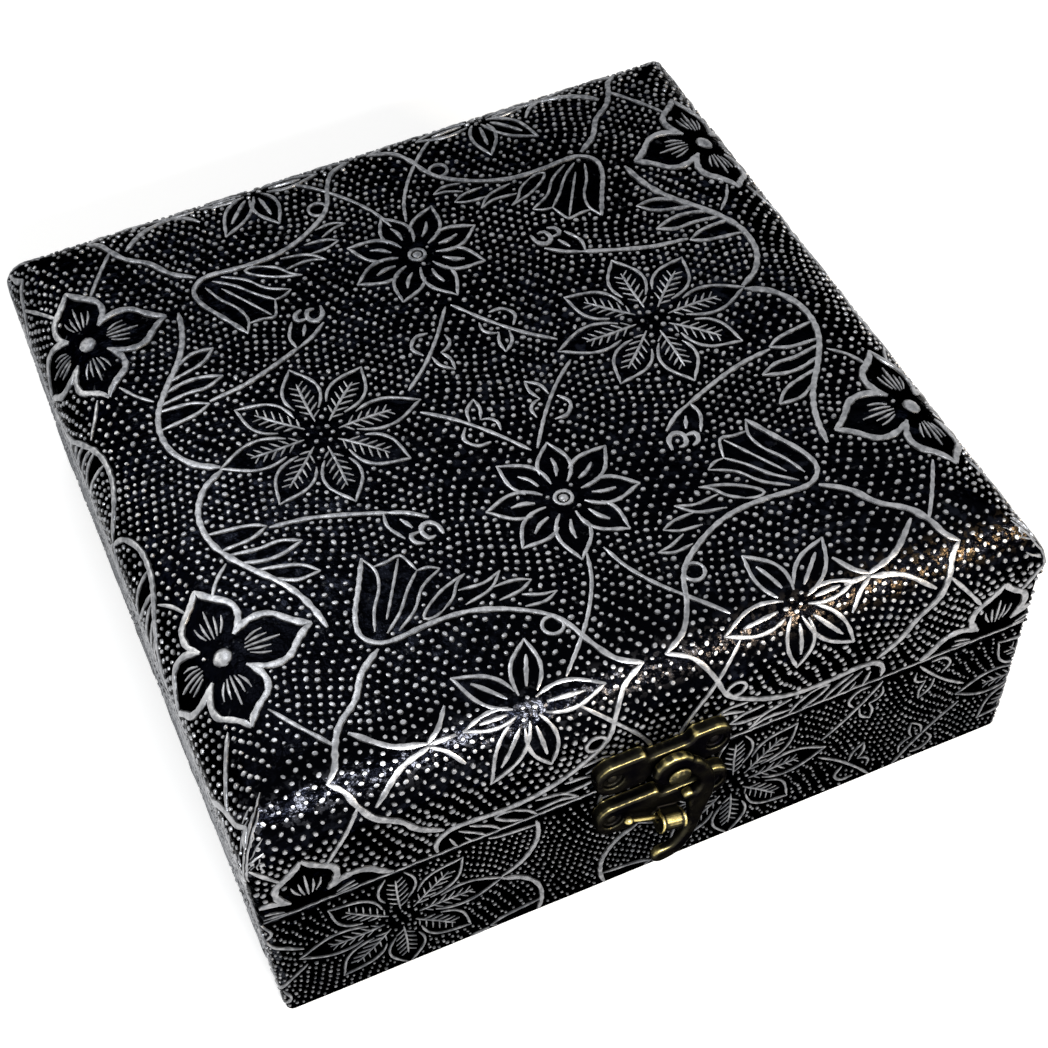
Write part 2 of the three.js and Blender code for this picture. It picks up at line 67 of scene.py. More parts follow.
# The ornament, in millimetres on the flat sheet. It repeats every REPEAT across and along, and each
# repeat is one quarter drawn and mirrored both ways. A line is (width, points)
REPEAT = (134.0, 141.0)
QUARTER_LINES = {
    "crossing_stem": (0.75, [(0.6, 20.5), (5.3, 13.5), (10.3, 7.5), (15.3, 3.0)]),
    "heart_loop": (0.75, [(6.4, 15.4), (9.0, 15.3), (10.7, 12.8), (9.3, 10.2)]),
    "heart_bud": (0.7, [(3.6, 13.6), (3.4, 11.4), (4.6, 10.0), (6.0, 9.6)]),
    "heart_leaf_near": (0.7, [(6.0, 9.6), (5.0, 7.0), (5.2, 4.3)]),
    "heart_leaf_far": (0.7, [(5.2, 4.3), (7.4, 6.4), (8.0, 9.2)]),
    "inner_stem": (0.75, [(1.6, 46.5), (3.3, 52.0), (6.4, 57.6), (10.4, 62.8), (15.3, 68.0)]),
    "tulip_stem": (
        1.0,
        [
            (2.0, 70.6), (6.4, 68.0), (9.2, 63.4), (11.0, 58.6), (13.6, 55.2), (19.3, 51.4),
            (25.3, 49.2), (32.0, 48.8), (39.3, 49.4), (42.4, 48.2), (43.8, 45.6), (43.0, 41.6),
            (40.3, 36.2), (37.6, 30.6),
        ],
    ),
    "tulip_fold": (0.6, [(37.6, 30.8), (36.4, 34.2), (37.2, 38.0), (39.6, 42.0), (41.2, 46.4)]),
    "tulip_lip": (0.6, [(36.6, 33.2), (34.0, 33.2), (31.4, 32.8), (30.4, 35.0), (29.8, 37.2)]),
    "tulip_rib": (0.55, [(31.8, 33.4), (34.2, 37.6), (36.4, 41.4), (38.4, 44.8)]),
    "tulip_side": (0.6, [(29.8, 37.2), (32.8, 40.4), (35.8, 44.4), (39.4, 47.6)]),
    "tulip_tip": (0.6, [(29.8, 37.2), (27.8, 37.4), (26.0, 38.5)]),
    "tulip_hem": (0.6, [(26.0, 38.5), (30.3, 41.0), (33.3, 45.0), (37.4, 48.0)]),
    "frond_root_top": (
        0.6,
        [(22.6, 41.4), (27.3, 43.0), (31.0, 45.4), (32.6, 47.4), (31.0, 47.9), (29.0, 47.2)],
    ),
    "frond_root_low": (0.6, [(22.6, 41.4), (24.6, 42.8), (26.4, 45.4), (29.0, 47.2)]),
    "frond_one_top": (0.6, [(16.8, 43.4), (20.3, 44.7), (25.0, 44.3)]),
    "frond_one_low": (0.6, [(16.8, 43.4), (19.8, 46.4), (25.0, 47.7)]),
    "frond_two_top": (0.6, [(12.6, 47.5), (15.3, 46.4), (19.4, 46.2)]),
    "frond_two_low": (0.6, [(12.6, 47.5), (15.3, 48.9), (19.4, 49.3)]),
    "frond_three_top": (0.6, [(9.6, 51.6), (12.3, 51.2), (15.4, 49.8)]),
    "frond_three_low": (0.6, [(9.6, 51.6), (12.3, 52.8), (15.9, 52.4)]),
    "branch": (
        1.2,
        [(42.0, 50.0), (46.3, 53.4), (49.2, 58.0), (53.2, 61.4), (55.4, 65.0), (56.8, 68.4), (59.0, 70.6)],
    ),
    "branch_link": (0.8, [(55.4, 65.0), (59.2, 59.6), (63.0, 53.6)]),
    "flower_link": (0.7, [(59.6, 21.4), (62.4, 24.4), (64.5, 28.0)]),
    "sickle": (
        1.2,
        [
            (53.4, 0.4), (57.6, 3.2), (60.4, 8.0), (60.9, 13.4), (59.6, 18.4), (56.4, 23.8),
            (52.8, 28.6), (50.4, 33.0), (49.0, 37.4), (48.2, 42.0),
        ],
    ),
    "sickle_leaf_one_top": (0.75, [(50.2, 16.4), (53.3, 14.9), (60.6, 13.8)]),
    "sickle_leaf_one_low": (0.75, [(50.2, 16.4), (53.8, 18.0), (59.8, 18.4)]),
    "sickle_leaf_two_top": (0.75, [(45.6, 22.2), (49.3, 20.6), (53.3, 20.7), (58.9, 19.8)]),
    "sickle_leaf_two_low": (0.75, [(45.6, 22.2), (49.8, 23.6), (53.3, 23.6), (57.2, 22.4)]),
    "sickle_leaf_three_top": (0.75, [(45.0, 30.0), (48.3, 27.0), (55.4, 25.0)]),
    "sickle_leaf_three_low": (0.75, [(45.0, 30.0), (49.3, 30.2), (53.2, 28.0)]),
    "bud_stem": (0.9, [(50.0, 16.9), (43.3, 17.9), (37.3, 19.8), (33.3, 21.4), (29.6, 22.9)]),
    "bud_outer": (0.7, [(30.4, 22.6), (30.8, 26.0), (29.0, 29.8)]),
    "bud_inner": (0.9, [(29.6, 22.9), (26.6, 24.4), (23.4, 27.0)]),
    "bud_vein": (0.9, [(28.2, 25.2), (26.9, 28.0)]),
    "bud_crown": (
        1.0,
        [(22.4, 31.6), (22.8, 29.2), (24.4, 28.0), (25.8, 29.2), (25.2, 31.4), (23.8, 31.4)],
    ),
    "bud_lobe": (1.0, [(26.2, 29.4), (27.9, 29.6), (27.7, 31.4), (26.2, 32.2)]),
    "spray_stem": (0.7, [(36.2, 70.4), (41.2, 70.4)]),
    "spray_near": (0.9, [(41.2, 70.2), (38.6, 68.4), (36.2, 65.2)]),
    "spray_far": (1.1, [(41.2, 70.2), (47.0, 68.4), (52.6, 63.6)]),
}
# The small ring beside each tulip stem
CURL_PLACE = (13.3, 58.0)
CURL_RADIUS = 1.9
CURL_WIDTH = 0.7
# Closed places of one quarter where no dots lie, named by the lines that bound them
QUARTER_BLANKS = [
    ["tulip_side", "tulip_stem_end", "tulip_lip"],
    ["tulip_tip", "tulip_hem", "tulip_side"],
    ["frond_root_top", "frond_root_low"],
    ["frond_one_top", "frond_one_low"],
    ["frond_two_top", "frond_two_low"],
    ["frond_three_top", "frond_three_low"],
    ["sickle_leaf_one_top", "sickle_leaf_one_low"],
    ["sickle_leaf_two_top", "sickle_leaf_two_low"],
    ["sickle_leaf_three_top", "sickle_leaf_three_low"],
    ["bud_outer", "bud_crown", "bud_inner"],
]
# A petal's half width along its length, as shares of its widest and of its reach past the root
PETAL_SHARES = [(0.0, 0.5), (0.14, 0.78), (0.34, 1.0), (0.56, 0.92), (0.76, 0.55), (0.9, 0.2), (1.0, 0.0)]
BOLD_SHARES = [
    (0.0, 0.62), (0.1, 0.8), (0.25, 0.96), (0.42, 1.0), (0.58, 0.86), (0.72, 0.5), (0.86, 0.19), (1.0, 0.0),
]
# Where the flowers stand. Of each pair the second is on the side where out is negative
BOLD_PLACES = [(67.0, 42.4), (67.3, -39.9)]
DAISY_OUTS = (36.6, -33.2)
DAISY_TURN = 11.5
FERN_ACROSS = 33.8
STAR_ACROSS = 25.2
STAR_DRIFT = 1.7
# A star's petals as (angle, reach, half width)
STAR_PETALS = [
    (184, 14.2, 2.5), (111, 12.9, 2.6), (45, 13.8, 2.5), (0, 11.5, 1.5), (-52, 15.2, 2.5), (-98, 13.2, 2.6),
]
# Spacing of the points along a petal's edge, another line, a blank and what dots keep clear of
PETAL_STEP = 0.5
LINE_STEP = 0.8
BLANK_STEP = 1.0
WALL_STEP = 0.6
# How high the dots' bent rows rise across and out, how far dots stray from them, the room that a dot
# needs beside a line, the room that it is pushed to, and how far past a repeat lines still matter
ROW_BENDS = (2.1, 2.4)
DOT_STRAY = 0.26
DOT_ROOM = 0.62
DOT_PUSHED_ROOM = 1.15
REPEAT_EDGE = 6
# As shares of the pitch: the least and most radius of a dot, and how near it may come to the next. Then
# how much of the way a crowded dot moves from its neighbours and from a line in one round
RADIUS_SHARES = (0.18, 0.28)
CROWD_SHARE = 0.93
PUSH_SHARES = (0.34, 0.5)
# As shares of the ring's radius: the boss inside it, and the bare place round it
BOSS_SHARE = 0.62
BARE_SHARE = 1.9


def smooth_line(points, step):
    """A smooth curve through points, as places about one step apart."""
    points = np.array(points, float)
    if len(points) == 2:
        count = max(2, int(math.ceil(np.linalg.norm(points[1] - points[0]) / step)) + 1)
        return points[0] + np.linspace(0, 1, count)[:, None] * (points[1] - points[0])
    padded = np.vstack([2 * points[0] - points[1], points, 2 * points[-1] - points[-2]])
    fine = []
    for before, start, end, after in zip(padded, padded[1:], padded[2:], padded[3:]):
        t = np.linspace(0, 1, 16, endpoint=False)[:, None]
        curve = (
            2 * start
            + (end - before) * t
            + (2 * before - 5 * start + 4 * end - after) * t**2
            + (3 * start - before - 3 * end + after) * t**3
        ) / 2
        fine.append(curve)
    fine = np.vstack(fine + [points[-1:]])
    run = np.concatenate([[0], np.cumsum(np.linalg.norm(np.diff(fine, axis=0), axis=1))])
    count = max(3, int(round(run[-1] / step)) + 1)
    places = np.linspace(0, run[-1], count)
    return np.stack([np.interp(places, run, fine[:, 0]), np.interp(places, run, fine[:, 1])], 1)


def ring_points(centre, radius):
    """A closed ring as twelve short steps."""
    turn = np.linspace(0, 2 * math.pi, 13)
    return np.stack([centre[0] + radius * np.cos(turn), centre[1] + radius * np.sin(turn)], 1)


def petal_edges(root, reach, half_width, shares):
    """A petal's two edges from root to tip, pointing along the first axis."""
    shares = np.array(shares)
    along = root + shares[:, 0] * (reach - root)
    across = shares[:, 1] * half_width
    return np.stack([along, across], 1), np.stack([along, -across], 1)


def turned(points, angle, centre):
    """Points turned about zero by an angle in degrees, then moved to a centre."""
    c, s = math.cos(math.radians(angle)), math.sin(math.radians(angle))
    points = np.array(points, float)
    return points @ np.array([[c, s], [-s, c]]) + np.array(centre)


class Flower:
    """The lines, closed blank places and bosses of one flower of the ornament."""

    def __init__(self, centre):
        self.centre = centre
        self.lines = []
        self.blanks = []
        self.bosses = []

    def petal(self, angle, root, reach, half_width, width, late=0.0, shares=PETAL_SHARES):
        """late leaves that much of one edge's root off, where the next petal lies over it."""
        left, right = petal_edges(root, reach, half_width, shares)
        curves = [smooth_line(edge, PETAL_STEP) for edge in (left, right)]
        self.blanks.append(turned(np.vstack([left, right[::-1]]), angle, self.centre))
        for curve, start in zip(curves, (root + late, root)):
            shown = curve[curve[:, 0] >= start]
            self.lines.append((width, turned(shown, angle, self.centre)))

    def stroke(self, angle, points, width):
        self.lines.append((width, turned(points, angle, self.centre)))

    def boss(self, radius, width):
        self.lines.append((width, ring_points(self.centre, radius)))
        self.bosses.append((self.centre, radius * BOSS_SHARE))
        self.blanks.append(ring_points(self.centre, radius * BARE_SHARE))


def daisy(centre, turn):
    """Eight petals that overlap, each with a short rib, round a boss in a ring."""
    root, reach, half_width, boss = 3.5, 14.0, 3.0, 1.6
    edge_line, rib_line, ring_line = 0.75, 0.85, 0.7
    rib = [(5.2, 0.1), (7.4, -0.25), (9.6, 0.1)]
    flower = Flower(centre)
    for k in range(8):
        angle = turn + 45 * k
        uneven = 0.5 * math.sin(2.3 * k)
        flower.petal(angle, root, reach + uneven, half_width, edge_line, late=2.6)
        flower.stroke(angle, rib, rib_line)
    flower.boss(boss, ring_line)
    return flower


def fern_flower(centre):
    """Eight broad petals, each with a stem and short leaves along it."""
    root, reach, long_reach, half_width = 6.4, 18.0, 19.8, 3.5
    first_leaf, leaf_gap, leaf_length = 4.4, 0.85, 2.0
    edge_line, stem_line, leaf_line = 0.65, 0.55, 0.48
    stem = [(3.4, 0), (8.4, 0.15), (13.8, 0)]
    flower = Flower(centre)
    for k in range(8):
        angle = 45 * k
        flower.petal(angle, root, reach if k % 4 else long_reach, half_width, edge_line, late=1.2)
        flower.stroke(angle, stem, stem_line)
        for leaf in range(11):
            along = first_leaf + leaf_gap * leaf
            size = leaf_length * math.sin(math.pi * (0.25 + 0.06 * leaf)) ** 0.5
            side = 1 if leaf % 2 else -1
            flower.stroke(angle, [(along, 0), (along + 0.9 * size, side * size)], leaf_line)
    return flower


def bold_flower(centre):
    """Four broad petals with heavy edges and five ribs each, round a plain boss."""
    root, reach, shorter, half_width = 3.4, 16.4, 0.9, 5.5
    boss, bare_ring = 1.9, 4.4
    edge_line, rib_line = 1.3, 0.5
    flower = Flower(centre)
    for k in range(4):
        angle = 90 * k
        flower.petal(angle, root, reach - shorter * (k % 2), half_width, edge_line, shares=BOLD_SHARES)
        for j in range(-2, 3):
            start, end = 4.2 + 0.3 * abs(j), 10.6 - 1.2 * abs(j) - 0.8 * (j % 2)
            rib = [(start, 0.7 * j), ((start + end) / 2, 1.15 * j), (end, 1.35 * j)]
            flower.stroke(angle, rib, rib_line)
    flower.bosses.append((centre, boss))
    flower.blanks.append(ring_points(centre, bare_ring))
    return flower


def star_flower(centre):
    """Six thin petals of uneven reach, each with a rib."""
    root, rib_start, edge_line, rib_line = 2.0, 3.6, 0.75, 0.85
    flower = Flower(centre)
    for angle, reach, half_width in STAR_PETALS:
        flower.petal(angle, root, reach, half_width, edge_line, late=0.8)
        flower.stroke(angle, [(rib_start, 0), (0.74 * reach, 0.15)], rib_line)
    return flower


def inside(points, outline):
    """Which points lie inside a closed outline, by counting the edges crossed on the way out."""
    x, y = points[:, 0], points[:, 1]
    hit = np.zeros(len(points), bool)
    for (x0, y0), (x1, y1) in zip(outline, np.roll(outline, -1, axis=0)):
        if y0 == y1:
            continue
        hit ^= ((y0 > y) != (y1 > y)) & (x < (x1 - x0) * (y - y0) / (y1 - y0) + x0)
    return hit


def quarter_outline(names):
    """One closed outline from a quarter's lines, each turned round where that joins up better."""
    parts = []
    for name in names:
        points = QUARTER_LINES["tulip_stem"][1][-5:] if name == "tulip_stem_end" else QUARTER_LINES[name][1]
        curve = smooth_line(points, BLANK_STEP)
        if parts and np.linalg.norm(parts[-1][-1] - curve[0]) > np.linalg.norm(parts[-1][-1] - curve[-1]):
            curve = curve[::-1]
        parts.append(curve)
    return np.vstack(parts)


@functools.lru_cache(maxsize=2)
def ornament(pitch):
    """One repeat of the ornament: its lines as (width, points), its bosses and its dots."""
    lines, blanks, bosses = [], [], []
    for sx in (-1, 1):
        for sy in (-1, 1):
            mirror = np.array([sx, sy])
            for width, points in QUARTER_LINES.values():
                lines.append((width, smooth_line(points, LINE_STEP) * mirror))
            curl = ring_points(CURL_PLACE, CURL_RADIUS) * mirror
            lines.append((CURL_WIDTH, curl))
            blanks.append(curl)
            for names in QUARTER_BLANKS:
                blanks.append(quarter_outline(names) * mirror)
    flowers = []
    for side in (-1, 1):
        flowers.append(daisy((0, DAISY_OUTS[side < 0]), side * DAISY_TURN))
        flowers.append(fern_flower((FERN_ACROSS * side, 0)))
        flowers.append(bold_flower(BOLD_PLACES[side < 0]))
        star = star_flower((0, 0))
        place = np.array([STAR_ACROSS * side + STAR_DRIFT, REPEAT[1] / 2])
        star.lines = [(width, points * np.array([side, 1]) + place) for width, points in star.lines]
        star.blanks = [points * np.array([side, 1]) + place for points in star.blanks]
        flowers.append(star)
    for flower in flowers:
        lines += flower.lines
        blanks += flower.blanks
        bosses += flower.bosses
    return lines, bosses, scatter_dots(lines, blanks, pitch)


def scatter_dots(lines, blanks, pitch):
    """Dots over one repeat in bent rows, clear of the lines and blanks, as (across, out, radius)."""
    columns = round(REPEAT[0] / pitch)
    rows = 2 * round(REPEAT[1] / (pitch * math.sqrt(3)))
    draw = random.Random(11)
    dots = []
    for j in range(rows):
        for i in range(columns):
            x = (i + 0.5 * (j % 2)) * REPEAT[0] / columns
            y = j * REPEAT[1] / rows
            bend_x = ROW_BENDS[0] * math.sin(2 * math.pi * (2 * x / REPEAT[0] + 3 * y / REPEAT[1]))
            bend_y = ROW_BENDS[1] * math.sin(2 * math.pi * (4 * x / REPEAT[0] - y / REPEAT[1]) + 1.0)
            x += bend_x + draw.uniform(-DOT_STRAY, DOT_STRAY)
            y += bend_y + draw.uniform(-DOT_STRAY, DOT_STRAY)
            dots.append((x % REPEAT[0] - REPEAT[0] / 2, y % REPEAT[1] - REPEAT[1] / 2))
    dots = np.array(dots)
    shifts = [(i * REPEAT[0], j * REPEAT[1]) for i in (-1, 0, 1) for j in (-1, 0, 1)]
    walls = []
    for width, points in lines:
        spread = smooth_line(points, WALL_STEP)
        walls += [(x, y, width / 2) for x, y in spread]
    reach = (REPEAT[0] / 2 + REPEAT_EDGE, REPEAT[1] / 2 + REPEAT_EDGE)
    near = [
        (x + dx, y + dy, half)
        for x, y, half in walls
        for dx, dy in shifts
        if abs(x + dx) < reach[0] and abs(y + dy) < reach[1]
    ]
    tree = kdtree.KDTree(len(near))
    for index, (x, y, half) in enumerate(near):
        tree.insert((x, y, 0), index)
    tree.balance()
    free = np.ones(len(dots), bool)
    for outline in blanks:
        for shift in shifts:
            free &= ~inside(dots, np.array(outline) + shift)
    dots = dots[free]
    for _ in range(3):
        dots = relaxed(dots, tree, near, shifts, reach, pitch)
    kept = []
    for x, y in dots:
        _, index, distance = tree.find((x, y, 0))
        room = distance - near[index][2]
        if room > DOT_ROOM:
            kept.append((x, y, draw.uniform(*RADIUS_SHARES) * pitch * min(1.0, 0.66 + room / 3)))
    return np.array(kept)


def relaxed(dots, tree, near, shifts, reach, pitch):
    """The dots pushed a little apart from each other and from the lines."""
    around = np.vstack([dots + shift for shift in shifts])
    around = around[(np.abs(around[:, 0]) < reach[0]) & (np.abs(around[:, 1]) < reach[1])]
    crowd = kdtree.KDTree(len(around))
    for index, (x, y) in enumerate(around):
        crowd.insert((x, y, 0), index)
    crowd.balance()
    moved = dots.copy()
    least = CROWD_SHARE * pitch
    for index, (x, y) in enumerate(dots):
        push = np.zeros(2)
        for place, _, distance in crowd.find_range((x, y, 0), least):
            if distance > 1e-6:
                away = (np.array([x, y]) - np.array(place[:2])) / distance
                push += away * (least - distance) * PUSH_SHARES[0]
        place, wall, distance = tree.find((x, y, 0))
        room = distance - near[wall][2]
        if room < DOT_PUSHED_ROOM and distance > 1e-6:
            away = (np.array([x, y]) - np.array(place[:2])) / distance
            push += away * (DOT_PUSHED_ROOM - room) * PUSH_SHARES[1]
        moved[index] += push
    return moved


def sheet_settings():
    return bpy.context.scene.keepsake_sheet


class LidForm:
    """Where a place on the flat sheet, in millimetres from its middle, comes to lie on the lid."""

    offset = (0.7, -1.5)
    pitch = 2.14
    spread = 1.15

    def __init__(self):
        settings = sheet_settings()
        low, high = LID_BOX
        self.half_x = high.x / MM
        self.half_y = high.y / MM
        self.top = high.z / MM
        self.low = low.z / MM
        self.across = settings.shoulder_across / MM
        self.down = settings.shoulder_down / MM
        self.relief = settings.relief_height / MM
        turn = np.linspace(0, math.pi / 2, 200)
        steps = np.hypot(np.diff(self.across * np.sin(turn)), np.diff(self.down * np.cos(turn)))
        self.run = np.concatenate([[0], np.cumsum(steps)])
        self.turn = turn
        self.flat_x = self.half_x - self.across
        self.flat_y = self.half_y - self.across
        self.reach = self.run[-1] + self.top - self.down - self.low

    def past_edge(self, flat):
        """How far out a place lies past the flat top, along each axis."""
        out_x = np.maximum(np.abs(flat[:, 0]) - self.flat_x, 0)
        out_y = np.maximum(np.abs(flat[:, 1]) - self.flat_y, 0)
        return out_x, out_y

    def outward(self, run):
        """How far out from the flat top a run over the shoulder comes."""
        return self.across * np.sin(np.interp(run, self.run, self.turn))

    def panel(self, flat, margin):
        """0 on the top, 1 down the front or back, 2 down a side, -1 off the sheet or past a mitre."""
        out_x, out_y = self.past_edge(flat)
        code = np.full(len(flat), -1)
        code[(out_x == 0) & (out_y == 0)] = 0
        limit = self.reach - margin
        code[(out_y > 0) & (out_y < limit) & (out_x < self.outward(out_y) - margin * (out_x > 0))] = 1
        code[(out_x > 0) & (out_x < limit) & (out_y < self.outward(out_x) - margin * (out_y > 0))] = 2
        code[(out_y > 0) & (out_x == 0) & (out_y < limit)] = 1
        code[(out_x > 0) & (out_y == 0) & (out_x < limit)] = 2
        return code

    def place(self, flat, rise, code):
        out_x, out_y = self.past_edge(flat)
        lift = rise - self.relief
        places = np.stack([flat[:, 0], flat[:, 1], self.top + lift], 1)
        for axis, other, panel in ((1, 0, 1), (0, 1, 2)):
            run = (out_x, out_y)[axis]
            edge = (self.flat_x, self.flat_y)[axis]
            end = (self.flat_x, self.flat_y)[other]
            turn = np.interp(run, self.run, self.turn)
            past = np.maximum(run - self.run[-1], 0)
            bent = np.empty_like(places)
            flat_part = np.clip(flat[:, axis], -edge, edge)
            bent[:, axis] = flat_part + np.sign(flat[:, axis]) * (self.across + lift) * np.sin(turn)
            widest = end + self.across * np.sin(turn) - self.relief
            bent[:, other] = np.clip(flat[:, other], -widest, widest)
            bent[:, 2] = self.top - self.down + (self.down + lift) * np.cos(turn) - past
            chosen = code == panel
            places[chosen] = bent[chosen]
        return places


class BaseForm:
    """Where a place on the base's strip comes to lie: millimetres along from the front's middle, and up."""

    offset = (49.0, 18.5)
    pitch = 1.86
    spread = 0.88

    def __init__(self):
        settings = sheet_settings()
        low, high = BASE_BOX
        self.half_x = high.x / MM
        self.half_y = high.y / MM
        self.low = low.z / MM
        self.high = high.z / MM
        self.radius = settings.corner_radius / MM
        self.relief = settings.relief_height / MM
        bend = self.radius * math.pi / 2
        wide = 2 * (self.half_x - self.radius)
        deep = 2 * (self.half_y - self.radius)
        self.around = 2 * (wide + deep) + 4 * bend
        corners = np.cumsum([wide / 2, bend, deep, bend, wide, bend, deep, bend, wide / 2])
        self.starts = np.concatenate([[0], corners])

    def panel(self, flat, margin):
        code = np.zeros(len(flat), int)
        code[np.abs(flat[:, 0]) > self.around / 2 - margin] = -1
        code[(flat[:, 1] < self.low + margin) | (flat[:, 1] > self.high - margin)] = -1
        return code

    def place(self, flat, rise, _code):
        along = np.mod(flat[:, 0], self.around)
        lift = rise - self.relief
        inner_x = self.half_x - self.radius
        inner_y = self.half_y - self.radius
        corners = [(inner_x, -inner_y), (inner_x, inner_y), (-inner_x, inner_y), (-inner_x, -inner_y)]
        places = np.zeros((len(flat), 3))
        places[:, 2] = flat[:, 1]
        for piece in range(9):
            chosen = (along >= self.starts[piece]) & (along <= self.starts[piece + 1])
            run = along[chosen] - self.starts[piece]
            out = self.radius + lift[chosen]
            quarter = piece // 2
            if piece % 2:
                turn = run / self.radius + (quarter - 1) * math.pi / 2
                cx, cy = corners[quarter]
            else:
                turn = np.full(len(run), (quarter - 1) * math.pi / 2)
                sx, sy = corners[quarter - 1] if quarter else (0.0, -inner_y)
                cx = sx - np.sin(turn) * run
                cy = sy + np.cos(turn) * run
            places[chosen, 0] = cx + out * np.cos(turn)
            places[chosen, 1] = cy + out * np.sin(turn)
        return places


# Shaping by hand: choosing, editing and finishing a piece
def put_down():
    if bpy.context.object and bpy.context.object.mode != "OBJECT":
        bpy.ops.object.mode_set(mode="OBJECT")
    bpy.ops.object.select_all(action="DESELECT")


def take_up(piece):
    put_down()
    piece.select_set(True)
    bpy.context.view_layer.objects.active = piece


def edit(piece):
    take_up(piece)
    bpy.ops.object.mode_set(mode="EDIT")
    bpy.ops.mesh.select_all(action="DESELECT")


def choose(kind, test):
    """Selects the faces, edges or verts of the piece in edit mode that pass a test."""
    shape = bmesh.from_edit_mesh(bpy.context.object.data)
    bpy.ops.mesh.select_mode(type={"faces": "FACE", "edges": "EDGE", "verts": "VERT"}[kind])
    bpy.ops.mesh.select_all(action="DESELECT")
    for part in getattr(shape, kind):
        if test(part):
            part.select_set(True)
    shape.select_flush_mode()
    bmesh.update_edit_mesh(bpy.context.object.data)


def modified(piece, kind, **values):
    take_up(piece)
    modifier = piece.modifiers.new(kind.title(), kind)
    for name, value in values.items():
        setattr(modifier, name, value)
    bpy.ops.object.modifier_apply(modifier=modifier.name)


def block(name, low, high):
    """A box between two corners, with its place in its mesh."""
    put_down()
    centre = [(a + b) / 2 for a, b in zip(low, high)]
    bpy.ops.mesh.primitive_cube_add(size=1, location=centre)
    piece = bpy.context.object
    piece.name = name
    piece.data.name = name
    piece.scale = [b - a for a, b in zip(low, high)]
    bpy.ops.object.transform_apply(location=True, rotation=True, scale=True)
    return piece


def smooth(piece, angle=40):
    take_up(piece)
    bpy.ops.object.shade_smooth_by_angle(angle=math.radians(angle))


def dress(piece, body, material, slot, *nodes):
    """Gives a finished piece its material and its body, and hides the CAD nodes that it stands for."""
    piece.data.materials.clear()
    piece.data.materials.append(material)
    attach(piece, body)
    if nodes:
        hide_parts(*nodes)


def mesh_piece(name, places, faces):
    data = bpy.data.meshes.new(name)
    data.from_pydata(places.tolist(), [], faces)
    data.update()
    piece = bpy.data.objects.new(name, data)
    bpy.context.scene.collection.objects.link(piece)
    return piece


def set_shares(piece, name, values):
    attribute = piece.data.attributes.new(name, "FLOAT", "POINT")
    attribute.data.foreach_set("value", np.asarray(values, np.float32))


# The sheet skins
DENT_SCALE = 70


def cut_across(axis, spacing, low, high):
    """Bisects the piece in edit mode at even steps along one axis, so that it can be dented."""
    count = max(1, round((high - low) / spacing))
    normal = Vector((0, 0, 0))
    normal[axis] = 1
    for step in range(1, count):
        place = Vector((0, 0, 0))
        place[axis] = low + (high - low) * step / count
        bpy.ops.mesh.select_all(action="SELECT")
        bpy.ops.mesh.bisect(plane_co=place, plane_no=normal)


def dented(piece, depth, low, high):
    """Moves the skin in and out by a little, as hand-pressed sheet lies, never past low or high."""
    for vertex in piece.data.vertices:
        wave = noise.noise(vertex.co * DENT_SCALE)
        shift = vertex.normal * (wave - 0.6) * depth
        vertex.co = [min(max(c + d, a), b) for c, d, a, b in zip(vertex.co, shift, low, high)]
    piece.data.update()


def ground_box(box, below_top):
    """The corners of the black ground, which lies lower than the relief on the sides and the top."""
    low, high = box
    inset = Vector((sheet_settings().relief_height, sheet_settings().relief_height, 0))
    return low + inset, high - inset - Vector((0, 0, below_top))


def opened(faces, rim):
    """Cuts the piece in edit mode open on the faces that pass a test, but for a rim of that width."""
    choose("faces", faces)
    bpy.ops.mesh.inset(thickness=rim, depth=0)
    bpy.ops.mesh.delete(type="FACE")


def is_upright(edge):
    a, b = (v.co for v in edge.verts)
    return (a - b).length > MM and abs(a.x - b.x) < MM / 10 and abs(a.y - b.y) < MM / 10


def faces_up(face):
    return face.normal.z > 0.9


def faces_down(face):
    return face.normal.z < -0.9


def pressed(piece, low, high, body, node):
    """Dents an open skin, gives it the sheet's thickness and finishes it."""
    settings = sheet_settings()
    cut_across(0, settings.dent_step, low.x, high.x)
    cut_across(1, settings.dent_step, low.y, high.y)
    bpy.ops.object.mode_set(mode="OBJECT")
    dented(piece, settings.dent_depth, low, high)
    modified(piece, "SOLIDIFY", thickness=settings.sheet_gauge, offset=-1, use_even_offset=False)
    smooth(piece)
    dress(piece, body, ground_finish(), "embossed_sheet", node)


def lid_skin():
    """A block stretched while its top edges are bevelled, which makes the shoulder an ellipse."""
    settings = sheet_settings()
    ground = settings.relief_height
    low, high = ground_box(LID_BOX, ground)
    across = settings.shoulder_across - ground
    stretch = across / (settings.shoulder_down - ground)
    piece = block("lid_skin", low, high)
    edit(piece)
    choose("faces", lambda face: True)
    pivot = (0, 0, high.z)
    bpy.ops.transform.resize(value=(1, 1, stretch), center_override=pivot)
    choose("edges", lambda edge: all(abs(v.co.z - high.z) < MM / 10 for v in edge.verts))
    bpy.ops.mesh.bevel(offset=across, segments=14, profile=0.5, affect="EDGES")
    choose("faces", lambda face: True)
    bpy.ops.transform.resize(value=(1, 1, 1 / stretch), center_override=pivot)
    start = high.z - settings.shoulder_down + ground
    choose("edges", lambda edge: is_upright(edge) and min(v.co.z for v in edge.verts) < start - MM)
    bpy.ops.mesh.bevel(offset=settings.corner_radius - ground, segments=3, profile=0.5, affect="EDGES")
    opened(faces_down, high.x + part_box("lid_left_wall")[1].x)
    pressed(piece, low, high, "lid", "lid_metal_sheet")


